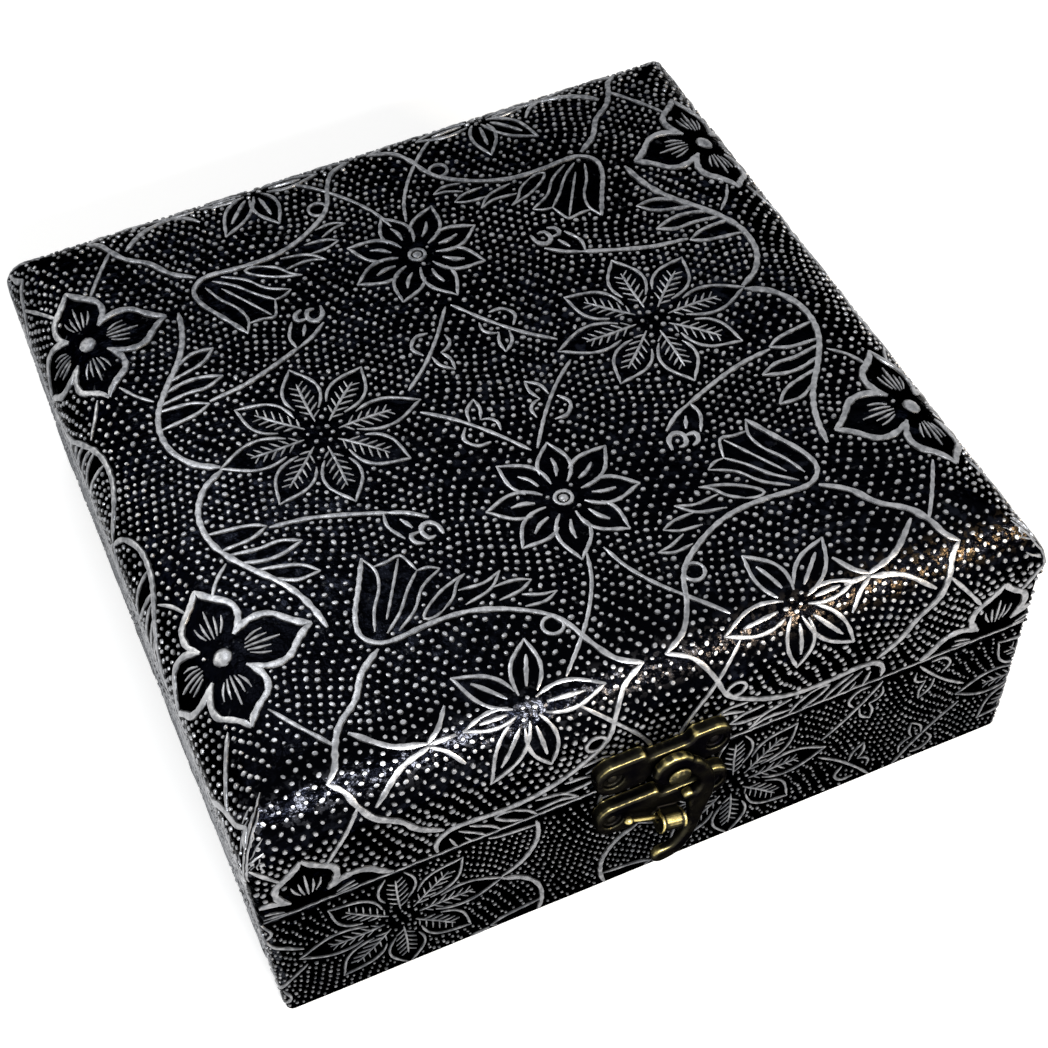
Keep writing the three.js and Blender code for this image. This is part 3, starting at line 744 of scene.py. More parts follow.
def base_skin():
    settings = sheet_settings()
    ground = settings.relief_height
    low, high = ground_box(BASE_BOX, 0)
    piece = block("base_skin", low, high)
    edit(piece)
    choose("edges", is_upright)
    bpy.ops.mesh.bevel(offset=settings.corner_radius - ground, segments=4, profile=0.5, affect="EDGES")
    opened(faces_up, high.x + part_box("base_left_wall")[1].x)
    opened(faces_down, settings.turn_under - ground)
    pressed(piece, low, high, "base", "base_metal_sheet")


# The relief on the sheet: lines as low ridges and dots as low domes, each a closed shape.
# A ridge's height across its width
RIDGE_SHARES = [(-0.5, 0.0), (-0.37, 0.8), (0.0, 1.0), (0.37, 0.8), (0.5, 0.0)]
RIDGE_STEP = 0.75
# How far a ridge or dome reaches down into the ground
ROOT_DEPTH = 0.09
# The share of its width that an open line has at its end, and over how many points it gets the rest
END_SHARE = 0.45
END_POINTS = 2.2
# How a line's width wanders, as (share of the width, turn for each millimetre across, and out)
WIDTH_WAVES = [(0.13, 1.7, 2.3), (0.09, 4.1, -5.3)]
# A dome is flat on top: its height falls by its radius raised to this. Larger domes are bosses
DOME_FLATNESS = 6
BOSS_RADIUS = 0.9
# How unlike the dots are: their turn in radians, and as shares of their radius how much longer and
# shorter than round they are and how uneven their outline is
DOT_TURN = 0.6
LONGER_SHARE = 0.3
SHORTER_SHARE = 0.18
UNEVEN_SHARE = 0.07
# How near a dot and a line may come to where the sheet ends or meets a mitre
DOT_MARGIN = 1.1
LINE_MARGIN = 0.45
FOLD_MARGIN = 0.2
# A line is cut where two of its points come to lie further apart than this
LONGEST_STEP = 3.0
# The folded rim along the lid's lower edge
RIM_INSET = 0.35
RIM_WIDTH = 0.42
# The waves in that rim, as (height, turn for each millimetre, start)
RIM_WAVES = [(0.07, 1.9, 0), (0.06, 0.73, 1), (0.05, 4.3, 0)]
# The creases at a corner of the lid, least and most: how far down the shoulder they start, how far from
# the corner, how they lean in radians, their length and width. The long fold is the corner's own
CREASE_RUNS = (7, 19)
CREASE_PLACES = (0.6, 3.6)
CREASE_LEANS = (-0.4, 1.2)
CREASE_LENGTHS = (1.5, 3.8)
CREASE_WIDTHS = (0.28, 0.55)
CREASES = 8
LONG_FOLD_RUNS = (9.0, 22.0, 0.9)
LONG_FOLD_WIDTH = 0.4
# How near a crease may come to the corner
CORNER_ROOM = 0.5


class Relief:
    """Gathers ridges or domes for one form and makes them one piece."""

    def __init__(self, form):
        self.form = form
        self.places = []
        self.shares = []
        self.faces = []
        self.count = 0

    def add(self, places, shares, faces):
        self.places.append(places)
        self.shares.append(shares)
        self.faces += [[self.count + i for i in face] for face in faces]
        self.count += len(places)

    def ridge(self, centre, width, code, taper):
        """One stretch of a line, as rings of five points across it."""
        run = np.gradient(centre, axis=0)
        run /= np.maximum(np.linalg.norm(run, axis=1), 1e-9)[:, None]
        side = np.stack([-run[:, 1], run[:, 0]], 1)
        count = len(centre)
        at_end = np.minimum(np.arange(count), np.arange(count)[::-1]) / END_POINTS
        full = np.clip(END_SHARE + (1 - END_SHARE) * at_end, 0, 1) if taper else np.ones(count)
        wander = np.ones(count)
        for size, turn_across, turn_out in WIDTH_WAVES:
            wander += size * np.sin(centre[:, 0] * turn_across + centre[:, 1] * turn_out)
        shares = np.array(RIDGE_SHARES)
        across = shares[None, :, 0] * (self.form.spread * width * full * wander)[:, None]
        flat = centre[:, None, :] + side[:, None, :] * across[..., None]
        height = self.form.relief * np.clip(0.62 + 0.38 * width, 0.7, 1.0)
        share = shares[None, :, 1] * (0.55 + 0.45 * full)[:, None]
        rise = -ROOT_DEPTH + (height + ROOT_DEPTH) * share
        code = np.repeat(code, len(shares))
        places = self.form.place(flat.reshape(-1, 2), rise.ravel(), code)
        n = len(shares)
        faces = []
        for i in range(count - 1):
            for k in range(n):
                a, b = i * n + k, i * n + (k + 1) % n
                faces.append((a, a + n, b + n, b))
        faces.append(tuple(range(n)))
        faces.append(tuple(range((count - 1) * n, count * n))[::-1])
        self.add(places, np.broadcast_to(shares[:, 1], (count, n)).ravel(), faces)

    def line(self, points, width, closed, margin=LINE_MARGIN):
        """A whole line, cut where it leaves the sheet or meets a mitre."""
        code = self.form.panel(points, margin)
        places = self.form.place(points, np.zeros(len(points)), code)
        jump = np.linalg.norm(np.diff(places, axis=0), axis=1) > LONGEST_STEP
        start = 0
        for i in range(1, len(points) + 1):
            if i == len(points) or code[i] < 0 or code[i - 1] < 0 or jump[i - 1]:
                if i - start >= 3 and code[start] >= 0:
                    self.ridge(points[start:i], width, code[start:i], not closed)
                start = i

    def domes(self, dots):
        """Bosses get a finer dome than dots."""
        small = dots[:, 2] <= BOSS_RADIUS
        self.copies(dots[small], *dome_template(8, 4))
        self.copies(dots[~small], *dome_template(20, 6))

    def copies(self, dots, template, faces):
        """All dots at once, from one modelled dome, each a little longer one way than the other."""
        if not len(dots):
            return
        draw = np.random.default_rng(7)
        turn = draw.normal(0, DOT_TURN, len(dots))
        radius = dots[:, 2] * self.form.spread / LidForm.spread
        stretch = np.where(dots[:, 2] > BOSS_RADIUS, 0, 1)
        long = radius * (1 + stretch * draw.uniform(0, LONGER_SHARE, len(dots)))
        short = radius * (1 - stretch * draw.uniform(0, SHORTER_SHARE, len(dots)))
        uneven = 1 + draw.uniform(-UNEVEN_SHARE, UNEVEN_SHARE, (len(dots), len(template)))
        along = template[None, :, 0] * long[:, None] * uneven
        across = template[None, :, 1] * short[:, None] * uneven
        c, s = np.cos(turn)[:, None], np.sin(turn)[:, None]
        centre = dots[:, None, :2] + np.stack([along * c - across * s, along * s + across * c], 2)
        height = self.form.relief * np.clip(0.35 + dots[:, 2], 0.6, 0.95)
        rise = -ROOT_DEPTH + (height[:, None] + ROOT_DEPTH) * template[None, :, 2]
        code = np.repeat(self.form.panel(dots[:, :2], 0.0), len(template))
        places = self.form.place(centre.reshape(-1, 2), rise.ravel(), code)
        n = len(template)
        self.places.append(places)
        self.shares.append(np.tile(template[:, 2], len(dots)))
        for i in range(len(dots)):
            start = self.count + i * n
            self.faces += [[start + k for k in face] for face in faces]
        self.count += n * len(dots)

    def piece(self, name):
        made = mesh_piece(name, np.vstack(self.places) * MM, self.faces)
        set_shares(made, "rise", np.concatenate(self.shares))
        smooth(made, 36)
        return made


@functools.lru_cache(maxsize=2)
def dome_template(segments, rings):
    """A low flat-topped dome cut from a ball, with a radius and a height of one."""
    put_down()
    bpy.ops.mesh.primitive_uv_sphere_add(segments=segments, ring_count=rings, radius=1)
    ball = bpy.context.object
    edit(ball)
    bpy.ops.mesh.select_all(action="SELECT")
    bpy.ops.mesh.bisect(plane_co=(0, 0, 0), plane_no=(0, 0, 1), use_fill=True, clear_inner=True)
    bpy.ops.object.mode_set(mode="OBJECT")
    places = np.array([v.co[:] for v in ball.data.vertices])
    places[:, 2] = 1 - np.hypot(places[:, 0], places[:, 1]) ** DOME_FLATNESS
    faces = [list(face.vertices) for face in ball.data.polygons]
    bpy.data.objects.remove(ball)
    return places, faces


def tiles(form, low, high):
    """The shifts of every repeat that reaches the form's flat sheet between two corners."""
    found = []
    for i in range(-4, 5):
        for j in range(-2, 3):
            place = (form.offset[0] + i * REPEAT[0], form.offset[1] + j * REPEAT[1])
            if all(low[k] - REPEAT[k] < place[k] < high[k] + REPEAT[k] for k in (0, 1)):
                found.append(place)
    return found


def relief_pieces(form, low, high, part):
    """The vines, the dots on the flat top and those on what bends down, as three pieces of one body."""
    lines, bosses, dots = ornament(form.pitch)
    ridges = Relief(form)
    shown = []
    for shift in tiles(form, low, high):
        for width, points in lines:
            moved = points + np.array(shift)
            if (moved.max(0) < low).any() or (moved.min(0) > high).any():
                continue
            closed = np.linalg.norm(points[0] - points[-1]) < 1e-6
            ridges.line(smooth_line(moved, RIDGE_STEP), width, closed)
        round_ones = [(x, y, radius) for (x, y), radius in bosses]
        placed = np.vstack([dots, np.array(round_ones)]) + np.array([shift[0], shift[1], 0])
        shown.append(placed[form.panel(placed[:, :2], DOT_MARGIN) >= 0])
    shown = np.vstack(shown)
    panel = form.panel(shown[:, :2], 0.0)
    dress(ridges.piece(part + "_vines"), part, relief_finish(), "embossed_sheet")
    for ending, chosen in (("dots", panel == 0), ("edge_dots", panel > 0)):
        if chosen.any():
            domes = Relief(form)
            domes.domes(shown[chosen])
            dress(domes.piece(part + "_" + ending), part, relief_finish(), "embossed_sheet")


def lid_relief():
    form = LidForm()
    reach_x = form.flat_x + form.reach
    reach_y = form.flat_y + form.reach
    relief_pieces(form, np.array([-reach_x, -reach_y]), np.array([reach_x, reach_y]), "lid")
    folds = Relief(form)
    for sx in (-1, 1):
        for sy in (-1, 1):
            corner_folds(folds, form, sx, sy)
    rim = form.reach - RIM_INSET
    for side in (-1, 1):
        for axis, half in ((0, form.half_x), (1, form.half_y)):
            edge = (form.flat_y, form.flat_x)[axis]
            along = np.arange(1 - half, half - 1, LINE_STEP)
            out = side * (edge + rim + rim_waves(along))
            points = np.stack([along, out] if axis == 0 else [out, along], 1)
            folds.line(points, RIM_WIDTH, False, 0.0)
    dress(folds.piece("lid_folds"), "lid", relief_finish(), "embossed_sheet")


def rim_waves(along):
    return sum(height * np.sin(turn * along + start) for height, turn, start in RIM_WAVES)


def corner_folds(folds, form, sx, sy):
    """The creases where the sheet is folded in at one corner of the lid's shoulder."""
    draw = random.Random(3 + sx + 2 * sy)
    for axis in (0, 1):
        for _ in range(CREASES):
            run = draw.uniform(*CREASE_RUNS)
            beside = draw.uniform(*CREASE_PLACES)
            lean = draw.uniform(*CREASE_LEANS)
            length = draw.uniform(*CREASE_LENGTHS)
            step = np.linspace(0, 1, 7)
            shaken_out = np.array([draw.uniform(-0.25, 0.25) for _ in step])
            shaken_near = np.array([draw.uniform(-0.3, 0.3) for _ in step])
            out = run + length * step * math.cos(lean) + shaken_out
            near = np.maximum(beside - length * step * math.sin(lean) + shaken_near, CORNER_ROOM)
            place_fold(folds, form, axis, (sx, sy), out, near, draw.uniform(*CREASE_WIDTHS))
        out = np.arange(*LONG_FOLD_RUNS)
        near = np.array([0.45 + draw.uniform(0, 0.4) for _ in out])
        place_fold(folds, form, axis, (sx, sy), out, near, LONG_FOLD_WIDTH)


def place_fold(folds, form, axis, signs, out, near, width):
    """One fold given by how far out and how near the corner its points are."""
    along = (form.flat_x, form.flat_y)[axis] + form.outward(out) - near
    down = (form.flat_y, form.flat_x)[axis] + out
    points = [along, down] if axis == 0 else [down, along]
    folds.line(smooth_line(np.stack(points, 1) * np.array(signs), LINE_STEP), width, False, FOLD_MARGIN)


def base_relief():
    form = BaseForm()
    half = form.around / 2
    relief_pieces(form, np.array([-half, form.low]), np.array([half, form.high]), "base")


# Finishes
class Nodes:
    """Builds one node tree: each call adds a node, and most give its output."""

    def __init__(self, tree):
        self.tree = tree

    def node(self, kind, inputs=(), **values):
        made = self.tree.nodes.new(kind)
        for name, value in values.items():
            setattr(made, name, value)
        for name, value in dict(inputs).items():
            self.feed(value, made.inputs[name])
        return made

    def feed(self, value, socket):
        if isinstance(value, bpy.types.NodeSocket):
            self.tree.links.new(value, socket)
        else:
            socket.default_value = value

    def span(self, value, low, high, out_low=0.0, out_high=1.0):
        inputs = {"Value": value, "From Min": low, "From Max": high, "To Min": out_low, "To Max": out_high}
        return self.node("ShaderNodeMapRange", inputs, clamp=True).outputs["Result"]

    def combine(self, first, second, operation):
        return self.node("ShaderNodeMath", {0: first, 1: second}, operation=operation).outputs[0]

    def sum(self, first, second):
        return self.combine(first, second, "ADD")

    def times(self, first, second):
        return self.combine(first, second, "MULTIPLY")

    def most(self, first, second):
        return self.combine(first, second, "MAXIMUM")

    def size(self, value):
        return self.combine(value, 0.0, "ABSOLUTE")

    def blend(self, share, first, second):
        made = self.node("ShaderNodeMix", data_type="RGBA")
        colors = [socket for socket in made.inputs if socket.type == "RGBA"]
        self.feed(share, made.inputs["Factor"])
        self.feed(first, colors[0])
        self.feed(second, colors[1])
        return [socket for socket in made.outputs if socket.type == "RGBA"][0]

    def seen(self):
        """1 for rays from the camera, through glass or off a shiny surface, 0 for what lights the box."""
        path = self.node("ShaderNodeLightPath").outputs
        mirrored = self.most(path["Is Glossy Ray"], path["Is Transmission Ray"])
        return self.most(path["Is Camera Ray"], mirrored)


@functools.lru_cache(maxsize=1)
def speckle_group():
    """The effect that the finishes share: a cloudy pattern whose values low to high become shares."""
    tree = bpy.data.node_groups.new("speckle", "ShaderNodeTree")
    tree.interface.new_socket("Place", in_out="INPUT", socket_type="NodeSocketVector")
    for name in ("Scale", "Detail", "Roughness", "Distortion", "Low", "High", "Low share", "High share"):
        tree.interface.new_socket(name, in_out="INPUT", socket_type="NodeSocketFloat")
    tree.interface.new_socket("Share", in_out="OUTPUT", socket_type="NodeSocketFloat")
    nodes = Nodes(tree)
    given = nodes.node("NodeGroupInput").outputs
    pattern = {name: given[name] for name in ("Scale", "Detail", "Roughness", "Distortion")}
    cloud = nodes.node("ShaderNodeTexNoise", {"Vector": given["Place"], **pattern}).outputs["Fac"]
    share = nodes.span(cloud, given["Low"], given["High"], given["Low share"], given["High share"])
    nodes.node("NodeGroupOutput", {"Share": share})
    return tree


class Finish(Nodes):
    """A node material being built on the piece's own coordinates."""

    def __init__(self, name):
        self.material = bpy.data.materials.new(name)
        self.material.use_nodes = True
        super().__init__(self.material.node_tree)
        self.shader = self.tree.nodes["Principled BSDF"]
        self.coords = self.node("ShaderNodeTexCoord").outputs["Object"]

    def places(self):
        return self.node("ShaderNodeSeparateXYZ", {"Vector": self.coords}).outputs

    def cloud(self, scale, detail, roughness=0.55, distortion=0.0, along=None):
        inputs = {
            "Vector": self.coords if along is None else along, "Scale": scale, "Detail": detail,
            "Roughness": roughness, "Distortion": distortion,
        }
        return self.node("ShaderNodeTexNoise", inputs).outputs["Fac"]

    def speckle(
        self, scale, detail, low, high, low_share=0.0, high_share=1.0, roughness=0.55, distortion=0.0
    ):
        inputs = {
            "Place": self.coords, "Scale": scale, "Detail": detail, "Roughness": roughness,
            "Distortion": distortion, "Low": low, "High": high, "Low share": low_share,
            "High share": high_share,
        }
        return self.node("ShaderNodeGroup", inputs, node_tree=speckle_group()).outputs["Share"]

    def stored(self, name):
        return self.node("ShaderNodeAttribute", attribute_name=name).outputs["Fac"]

    def bump(self, height, strength, distance, under=None):
        made = self.node("ShaderNodeBump", {"Height": height, "Strength": strength, "Distance": distance})
        if under is not None:
            self.feed(under, made.inputs["Normal"])
        return made.outputs["Normal"]

    def set(self, **values):
        """Feeds the shader's sockets, each named with _ between its words."""
        for name, value in values.items():
            self.feed(value, self.shader.inputs[name.replace("_", " ")])
        return self.material


def rgb(color):
    return (*color[:3], 1.0)


def front_shoulder(finish, places):
    """1 along the front shoulder, in the band where the key lamp's highlight falls, fading out above, below
    and behind it.
    """
    crown = LID_BOX[1].z + LID_BOX[0].y - 2 * sheet_settings().relief_height
    above_crown = finish.combine(finish.sum(places["Z"], places["Y"]), crown, "SUBTRACT")
    front = finish.span(above_crown, -5 * MM, -MM)
    front = finish.times(front, finish.span(above_crown, 3 * MM, 8 * MM, 1.0, 0.0))
    front = finish.times(front, finish.span(places["Z"], 42 * MM, 45 * MM))
    return finish.times(front, finish.span(places["Y"], -45 * MM, -40 * MM, 1.0, 0.0))


def beside_seam(finish, places):
    """1 on the folded rims next to the seam, with an uneven edge."""
    level = finish.sum(places["Z"], finish.speckle(260, 2, 0.2, 0.8, -0.3 * MM, 0.3 * MM))
    base_rim, lid_rim = BASE_BOX[1].z, LID_BOX[0].z
    below = finish.span(level, base_rim - 0.6 * MM, base_rim - 0.3 * MM)
    above = finish.span(level, lid_rim + 0.6 * MM, lid_rim + 0.3 * MM)
    return finish.times(below, above)


def upright_corner(finish, places):
    """How far the paint is rubbed off the upright corners, with a ragged edge."""
    settings = sheet_settings()
    beside = finish.sum(finish.size(places["X"]), finish.size(places["Y"]))
    ragged = finish.sum(beside, finish.speckle(330, 4, 0.25, 0.75, -1.1 * MM, 1.1 * MM))
    edge = LID_BOX[1].x + LID_BOX[1].y - 2 * settings.relief_height - settings.corner_radius
    return finish.span(ragged, edge + 0.4 * MM, edge + MM, 0.0, 0.45)


@functools.lru_cache(maxsize=1)
def ground_finish():
    """Glossy black paint over the sheet's ground, thin on the front shoulder and rubbed off at edges."""
    settings = sheet_settings()
    finish = Finish("black_ground")
    places = finish.places()
    fine = finish.cloud(900, 2)
    shiny = finish.times(finish.speckle(38, 4, 0.42, 0.6), finish.speckle(430, 4, 0.52, 0.64))
    paint = finish.blend(shiny, rgb(settings.ground), rgb(settings.ground_sheen))
    # Thin paint along the front shoulder: worn paint set in the key lamp's highlight band, tinted cool on
    # the left and warm on the right as painted light.
    thin = finish.times(front_shoulder(finish, places), finish.speckle(700, 4, 0.52, 0.58))
    warm_light_share = finish.span(places["X"], -20 * MM, 50 * MM)
    thin_paint_lit_tint = finish.blend(warm_light_share, rgb(settings.thin_paint), rgb(settings.thin_paint_in_warm_light))
    paint = finish.blend(thin, paint, thin_paint_lit_tint)
    scuffed = finish.times(beside_seam(finish, places), finish.span(fine, 0.35, 0.6, 0.0, 0.3))
    worn = finish.most(scuffed, upright_corner(finish, places))
    worn = finish.most(worn, finish.speckle(620, 4, 0.64, 0.74, 0.0, 0.16))
    normal = finish.bump(finish.cloud(380, 3), 0.6, 0.6 * MM)
    return finish.set(
        Base_Color=finish.blend(worn, paint, rgb(settings.silver_dull_and_shaded)),
        Metallic=1.0,
        Specular_Tint=(0.25, 0.25, 0.25, 1.0),
        Roughness=finish.speckle(120, 3, 0.3, 0.7, 0.16, 0.28),
        Normal=finish.bump(fine, 0.6, 0.2 * MM, normal),
    )


@functools.lru_cache(maxsize=1)
def relief_finish():
    """Raised metal rubbed bright, with the black paint left at its foot; darker low down and behind as
    painted shade.
    """
    settings = sheet_settings()
    finish = Finish("rubbed_relief")
    places = finish.places()
    ragged = finish.sum(finish.cloud(430, 4), finish.times(finish.cloud(700, 3), 0.5))
    edge = finish.sum(finish.stored("rise"), finish.span(ragged, 0.55, 0.95, -0.34, 0.26))
    bare = finish.span(edge, 0.3, 0.62)
    mottle = finish.sum(finish.cloud(45, 3), finish.speckle(800, 5, 0.34, 0.66, -0.4, 0.4))
    # Painted shade: the relief is darker towards the bottom and towards the back, standing for less light
    # there.
    low_down = finish.span(places["Z"], 10 * MM, LID_BOX[1].z, 0.5, 0.0)
    behind = finish.span(places["Y"], -50 * MM, BASE_BOX[1].y, 0.0, 0.5)
    dullness_and_painted_shade = finish.sum(finish.span(mottle, 0.2, 0.85, 0.0, 0.65), finish.sum(low_down, behind))
    tone = finish.blend(dullness_and_painted_shade, rgb(settings.silver), rgb(settings.silver_dull_and_shaded))
    return finish.set(
        Base_Color=finish.blend(bare, rgb(settings.ground), tone),
        Metallic=bare,
        Roughness=finish.speckle(300, 3, 0.3, 0.7, 0.27, 0.46),
        Normal=finish.bump(finish.cloud(1100, 3), 0.5, 0.14 * MM),
    )


@functools.lru_cache(maxsize=1)
def brass_finish():
    """Cast brass darkened brown in the hollows and rubbed yellow where it stands out, painted lighter on
    edges that face up as if lit from above.
    """
    settings = bpy.context.scene.keepsake_fittings
    finish = Finish("antique_brass")
    edge = finish.sum(finish.stored("wear"), finish.speckle(900, 4, 0.25, 0.75, -0.08, 0.08))
    bright = finish.span(edge, 0.38, 0.64)
    half_worn_and_lit = finish.sum(finish.span(edge, 0.1, 0.5), finish.speckle(160, 4, 0.4, 0.7, 0.0, 0.35))
    dark = finish.blend(half_worn_and_lit, rgb(settings.dark), rgb(settings.olive))
    normal = finish.bump(finish.cloud(520, 4), 0.4, 0.25 * MM)
    return finish.set(
        Base_Color=finish.blend(bright, dark, rgb(settings.gold)),
        Metallic=1.0,
        Specular_Tint=(0.3, 0.3, 0.3, 1.0),
        Roughness=finish.span(bright, 0.0, 1.0, 0.42, 0.28),
        Normal=finish.bump(finish.cloud(2200, 2), 0.25, 0.05 * MM, normal),
    )


@functools.lru_cache(maxsize=1)
def velvet_finish():
    """Short black velvet: a soft sheen and brushed patches."""
    settings = bpy.context.scene.keepsake_lining
    finish = Finish("black_velvet")
    nap = finish.cloud(2600, 2)
    brushed = finish.speckle(55, 3, 0.3, 0.7, 0.0, 0.7, roughness=0.6, distortion=0.6)
    shade = finish.sum(brushed, finish.span(nap, 0.3, 0.7, 0.0, 0.3))
    return finish.set(
        Base_Color=finish.blend(shade, rgb(settings.velvet), rgb(settings.velvet_light)),
        Roughness=finish.span(nap, 0.2, 0.8, 0.85, 1.0),
        Specular_IOR_Level=0.1,
        Sheen_Weight=0.6,
        Sheen_Roughness=0.45,
        Sheen_Tint=rgb(settings.velvet_light),
        Normal=finish.bump(nap, 0.6, 0.3 * MM),
    )


@functools.lru_cache(maxsize=1)
def felt_finish():
    """Thin black felt with loose fibres."""
    settings = bpy.context.scene.keepsake_lining
    finish = Finish("black_felt")
    fibre = finish.cloud(1500, 6, 0.75, 2.5)
    loose = finish.span(fibre, 0.4, 0.62)
    return finish.set(
        Base_Color=finish.blend(loose, rgb(settings.felt), rgb(settings.felt_light)),
        Roughness=finish.span(fibre, 0.2, 0.8, 0.85, 1.0),
        Specular_IOR_Level=0.1,
        Normal=finish.bump(fibre, 0.8, 0.3 * MM),
    )


@functools.lru_cache(maxsize=1)
def timber_finish():
    """Plain sawn board with a straight grain, blackened inside where the linings are glued."""
    settings = bpy.context.scene.keepsake_lining
    finish = Finish("sawn_timber")
    places = finish.places()
    stretched = finish.node("ShaderNodeMapping", {"Vector": finish.coords, "Scale": (1.0, 14.0, 14.0)})
    grain = finish.cloud(60, 6, 0.5, 0.8, stretched.outputs["Vector"])
    stained = 1.0
    for axis, wall_face in (("X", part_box("base_left_wall")[1].x), ("Y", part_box("base_front_wall")[1].y)):
        inner = finish.span(finish.size(places[axis]), 0.8 * MM - wall_face, MM - wall_face, 1.0, 0.0)
        stained = finish.times(stained, inner)
    wood = finish.blend(finish.span(grain, 0.35, 0.7), rgb(settings.timber_dark), rgb(settings.timber))
    return finish.set(
        Base_Color=finish.blend(stained, wood, rgb(settings.timber_stain)),
        Roughness=finish.span(grain, 0.3, 0.7, 0.55, 0.8),
        Normal=finish.bump(grain, 0.4, 0.3 * MM),
    )


# Fittings: each brass node is copied, softened as a casting is, and marked where it is rubbed bright and
# where it is painted lighter for light from above.
# The dark dimple round a nail, in millimetres
DIMPLE_RADIUS = 1.6
DIMPLE_FADE = 0.8


def cast_copy(node, voxel, smoothing):
    """A brass node's own copy, with its sharp edges softened."""
    source = frame["nodes"][node]
    piece = source.copy()
    piece.data = source.data.copy()
    for key in list(piece.keys()):
        if key.startswith("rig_"):
            del piece[key]
    piece.parent = None
    piece.matrix_world = Matrix.Identity(4)
    piece.name = node + "_cast"
    piece.data.name = piece.name
    bpy.context.scene.collection.objects.link(piece)
    edit(piece)
    bpy.ops.mesh.select_all(action="SELECT")
    bpy.ops.mesh.remove_doubles(threshold=MM / 1000)
    bpy.ops.object.mode_set(mode="OBJECT")
    modified(piece, "REMESH", mode="VOXEL", voxel_size=voxel)
    modified(piece, "SMOOTH", factor=0.5, iterations=smoothing)
    take_up(piece)
    bpy.ops.object.shade_smooth()
    return piece


def mark_wear(piece, reach, gain, even):
    """Stores how rubbed each place is, with painted light from above: most on an upper edge, even on a flat,
    least round a nail.
    """
    data = piece.data
    count = len(data.vertices)
    places = np.empty(count * 3, np.float32)
    data.vertices.foreach_get("co", places)
    places = places.reshape(-1, 3).astype(float)
    normals = np.array([v.normal[:] for v in data.vertices])
    edges = np.empty(len(data.edges) * 2, np.int32)
    data.edges.foreach_get("vertices", edges)
    edges = edges.reshape(-1, 2)
    degree = np.bincount(edges.ravel(), minlength=count).astype(float)
    spread = places.copy()
    for _ in range(reach):
        total = np.zeros_like(spread)
        np.add.at(total, edges[:, 0], spread[edges[:, 1]])
        np.add.at(total, edges[:, 1], spread[edges[:, 0]])
        spread = total / np.maximum(degree, 1)[:, None]
    stand_out = ((places - spread) * normals).sum(1) / MM
    # Painted light: the rubbing is weighted toward faces that point up, so upper edges are lighter and faces
    # that point down darker, as if lit from above.
    painted_light_from_above = np.clip(0.25 + 1.1 * normals[:, 2], 0.1, 1.0)
    wear = even + (0.1 + gain * stand_out) * painted_light_from_above
    if "keeper" in piece.name:
        past_nails = (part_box("latch_plate_nail_left")[0].y - places[:, 1]) / MM
        wear += np.clip(0.16 * past_nails, 0, 0.3) * painted_light_from_above
    if "plate_cast" in piece.name:
        nails = [name for name in BODY_OF if name.startswith(piece.name.replace("_cast", "_nail"))]
        for nail in nails:
            centre = np.array(sum(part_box(nail), Vector()) / 2)
            away = np.hypot(*(places - centre)[:, ::2].T) / MM
            wear *= np.clip((away - DIMPLE_RADIUS) / DIMPLE_FADE, 0.05, 1)
    set_shares(piece, "wear", np.clip(wear, 0, 1))


BODY_OF = {node: body for body, nodes in frame["record"]["behaviour"]["bodies"].items() for node in nodes}
SLOT_OF = {part["node"]: part["material_slot"] for part in frame["record"]["subparts"]}


def cast_piece(node, voxel=0.15 * MM, smoothing=6, reach=14, gain=5.5, even=0.0):
    piece = cast_copy(node, voxel, smoothing)
    mark_wear(piece, reach, gain, even)
    dress(piece, BODY_OF[node], brass_finish(), "antique_brass", node)


def brass_nodes(*starts):
    names = [name for name in BODY_OF if SLOT_OF.get(name) == "antique_brass"]
    return sorted(name for name in names if name.startswith(starts))


# Linings. How far a pad's face lies back all over, is rolled back at its edge and waves, as shares of the
# pad's thickness
BACK_SHARE = 0.1
ROLL_SHARE = 0.5
WAVE_SHARE = 0.08
PAD_WAVE_SCALE = 60
# The felt's grid, and how deep its upper face waves
FELT_STEP = 4 * MM
FELT_WAVE = 0.1 * MM
FELT_WAVE_SCALE = 90


def lining_pad(node):
    """A velvet-covered card: the visible face crowned a little and rolled over at its edges."""
    settings = bpy.context.scene.keepsake_lining
    low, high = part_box(node)
    size = high - low
    thin = min(range(3), key=lambda axis: size[axis])
    piece = block(node + "_velvet", low, high)
    edit(piece)
    for axis in range(3):
        if axis != thin:
            cut_across(axis, settings.pad_step, low[axis], high[axis])
    bpy.ops.object.mode_set(mode="OBJECT")
    centre = (low + high) / 2
    inward = -1 if abs(centre[thin]) > size[thin] and centre[thin] > 0 else 1
    if thin == 2:
        inward = 1 if node.startswith("base") else -1
    roll = settings.edge_roll
    wide = [axis for axis in range(3) if axis != thin]
    for vertex in piece.data.vertices:
        edge = min(min(vertex.co[a] - low[a], high[a] - vertex.co[a]) for a in wide)
        share = 1 - min(1.0, edge / roll)
        if (vertex.co[thin] - centre[thin]) * inward > 0:
            wave = WAVE_SHARE * noise.noise(vertex.co * PAD_WAVE_SCALE)
            back = ROLL_SHARE * share * share + BACK_SHARE + wave * (1 - share)
            vertex.co[thin] -= inward * size[thin] * back
    modified(piece, "SUBSURF", levels=1, render_levels=1)
    smooth(piece, 60)
    dress(piece, BODY_OF[node], velvet_finish(), "velvet", node)


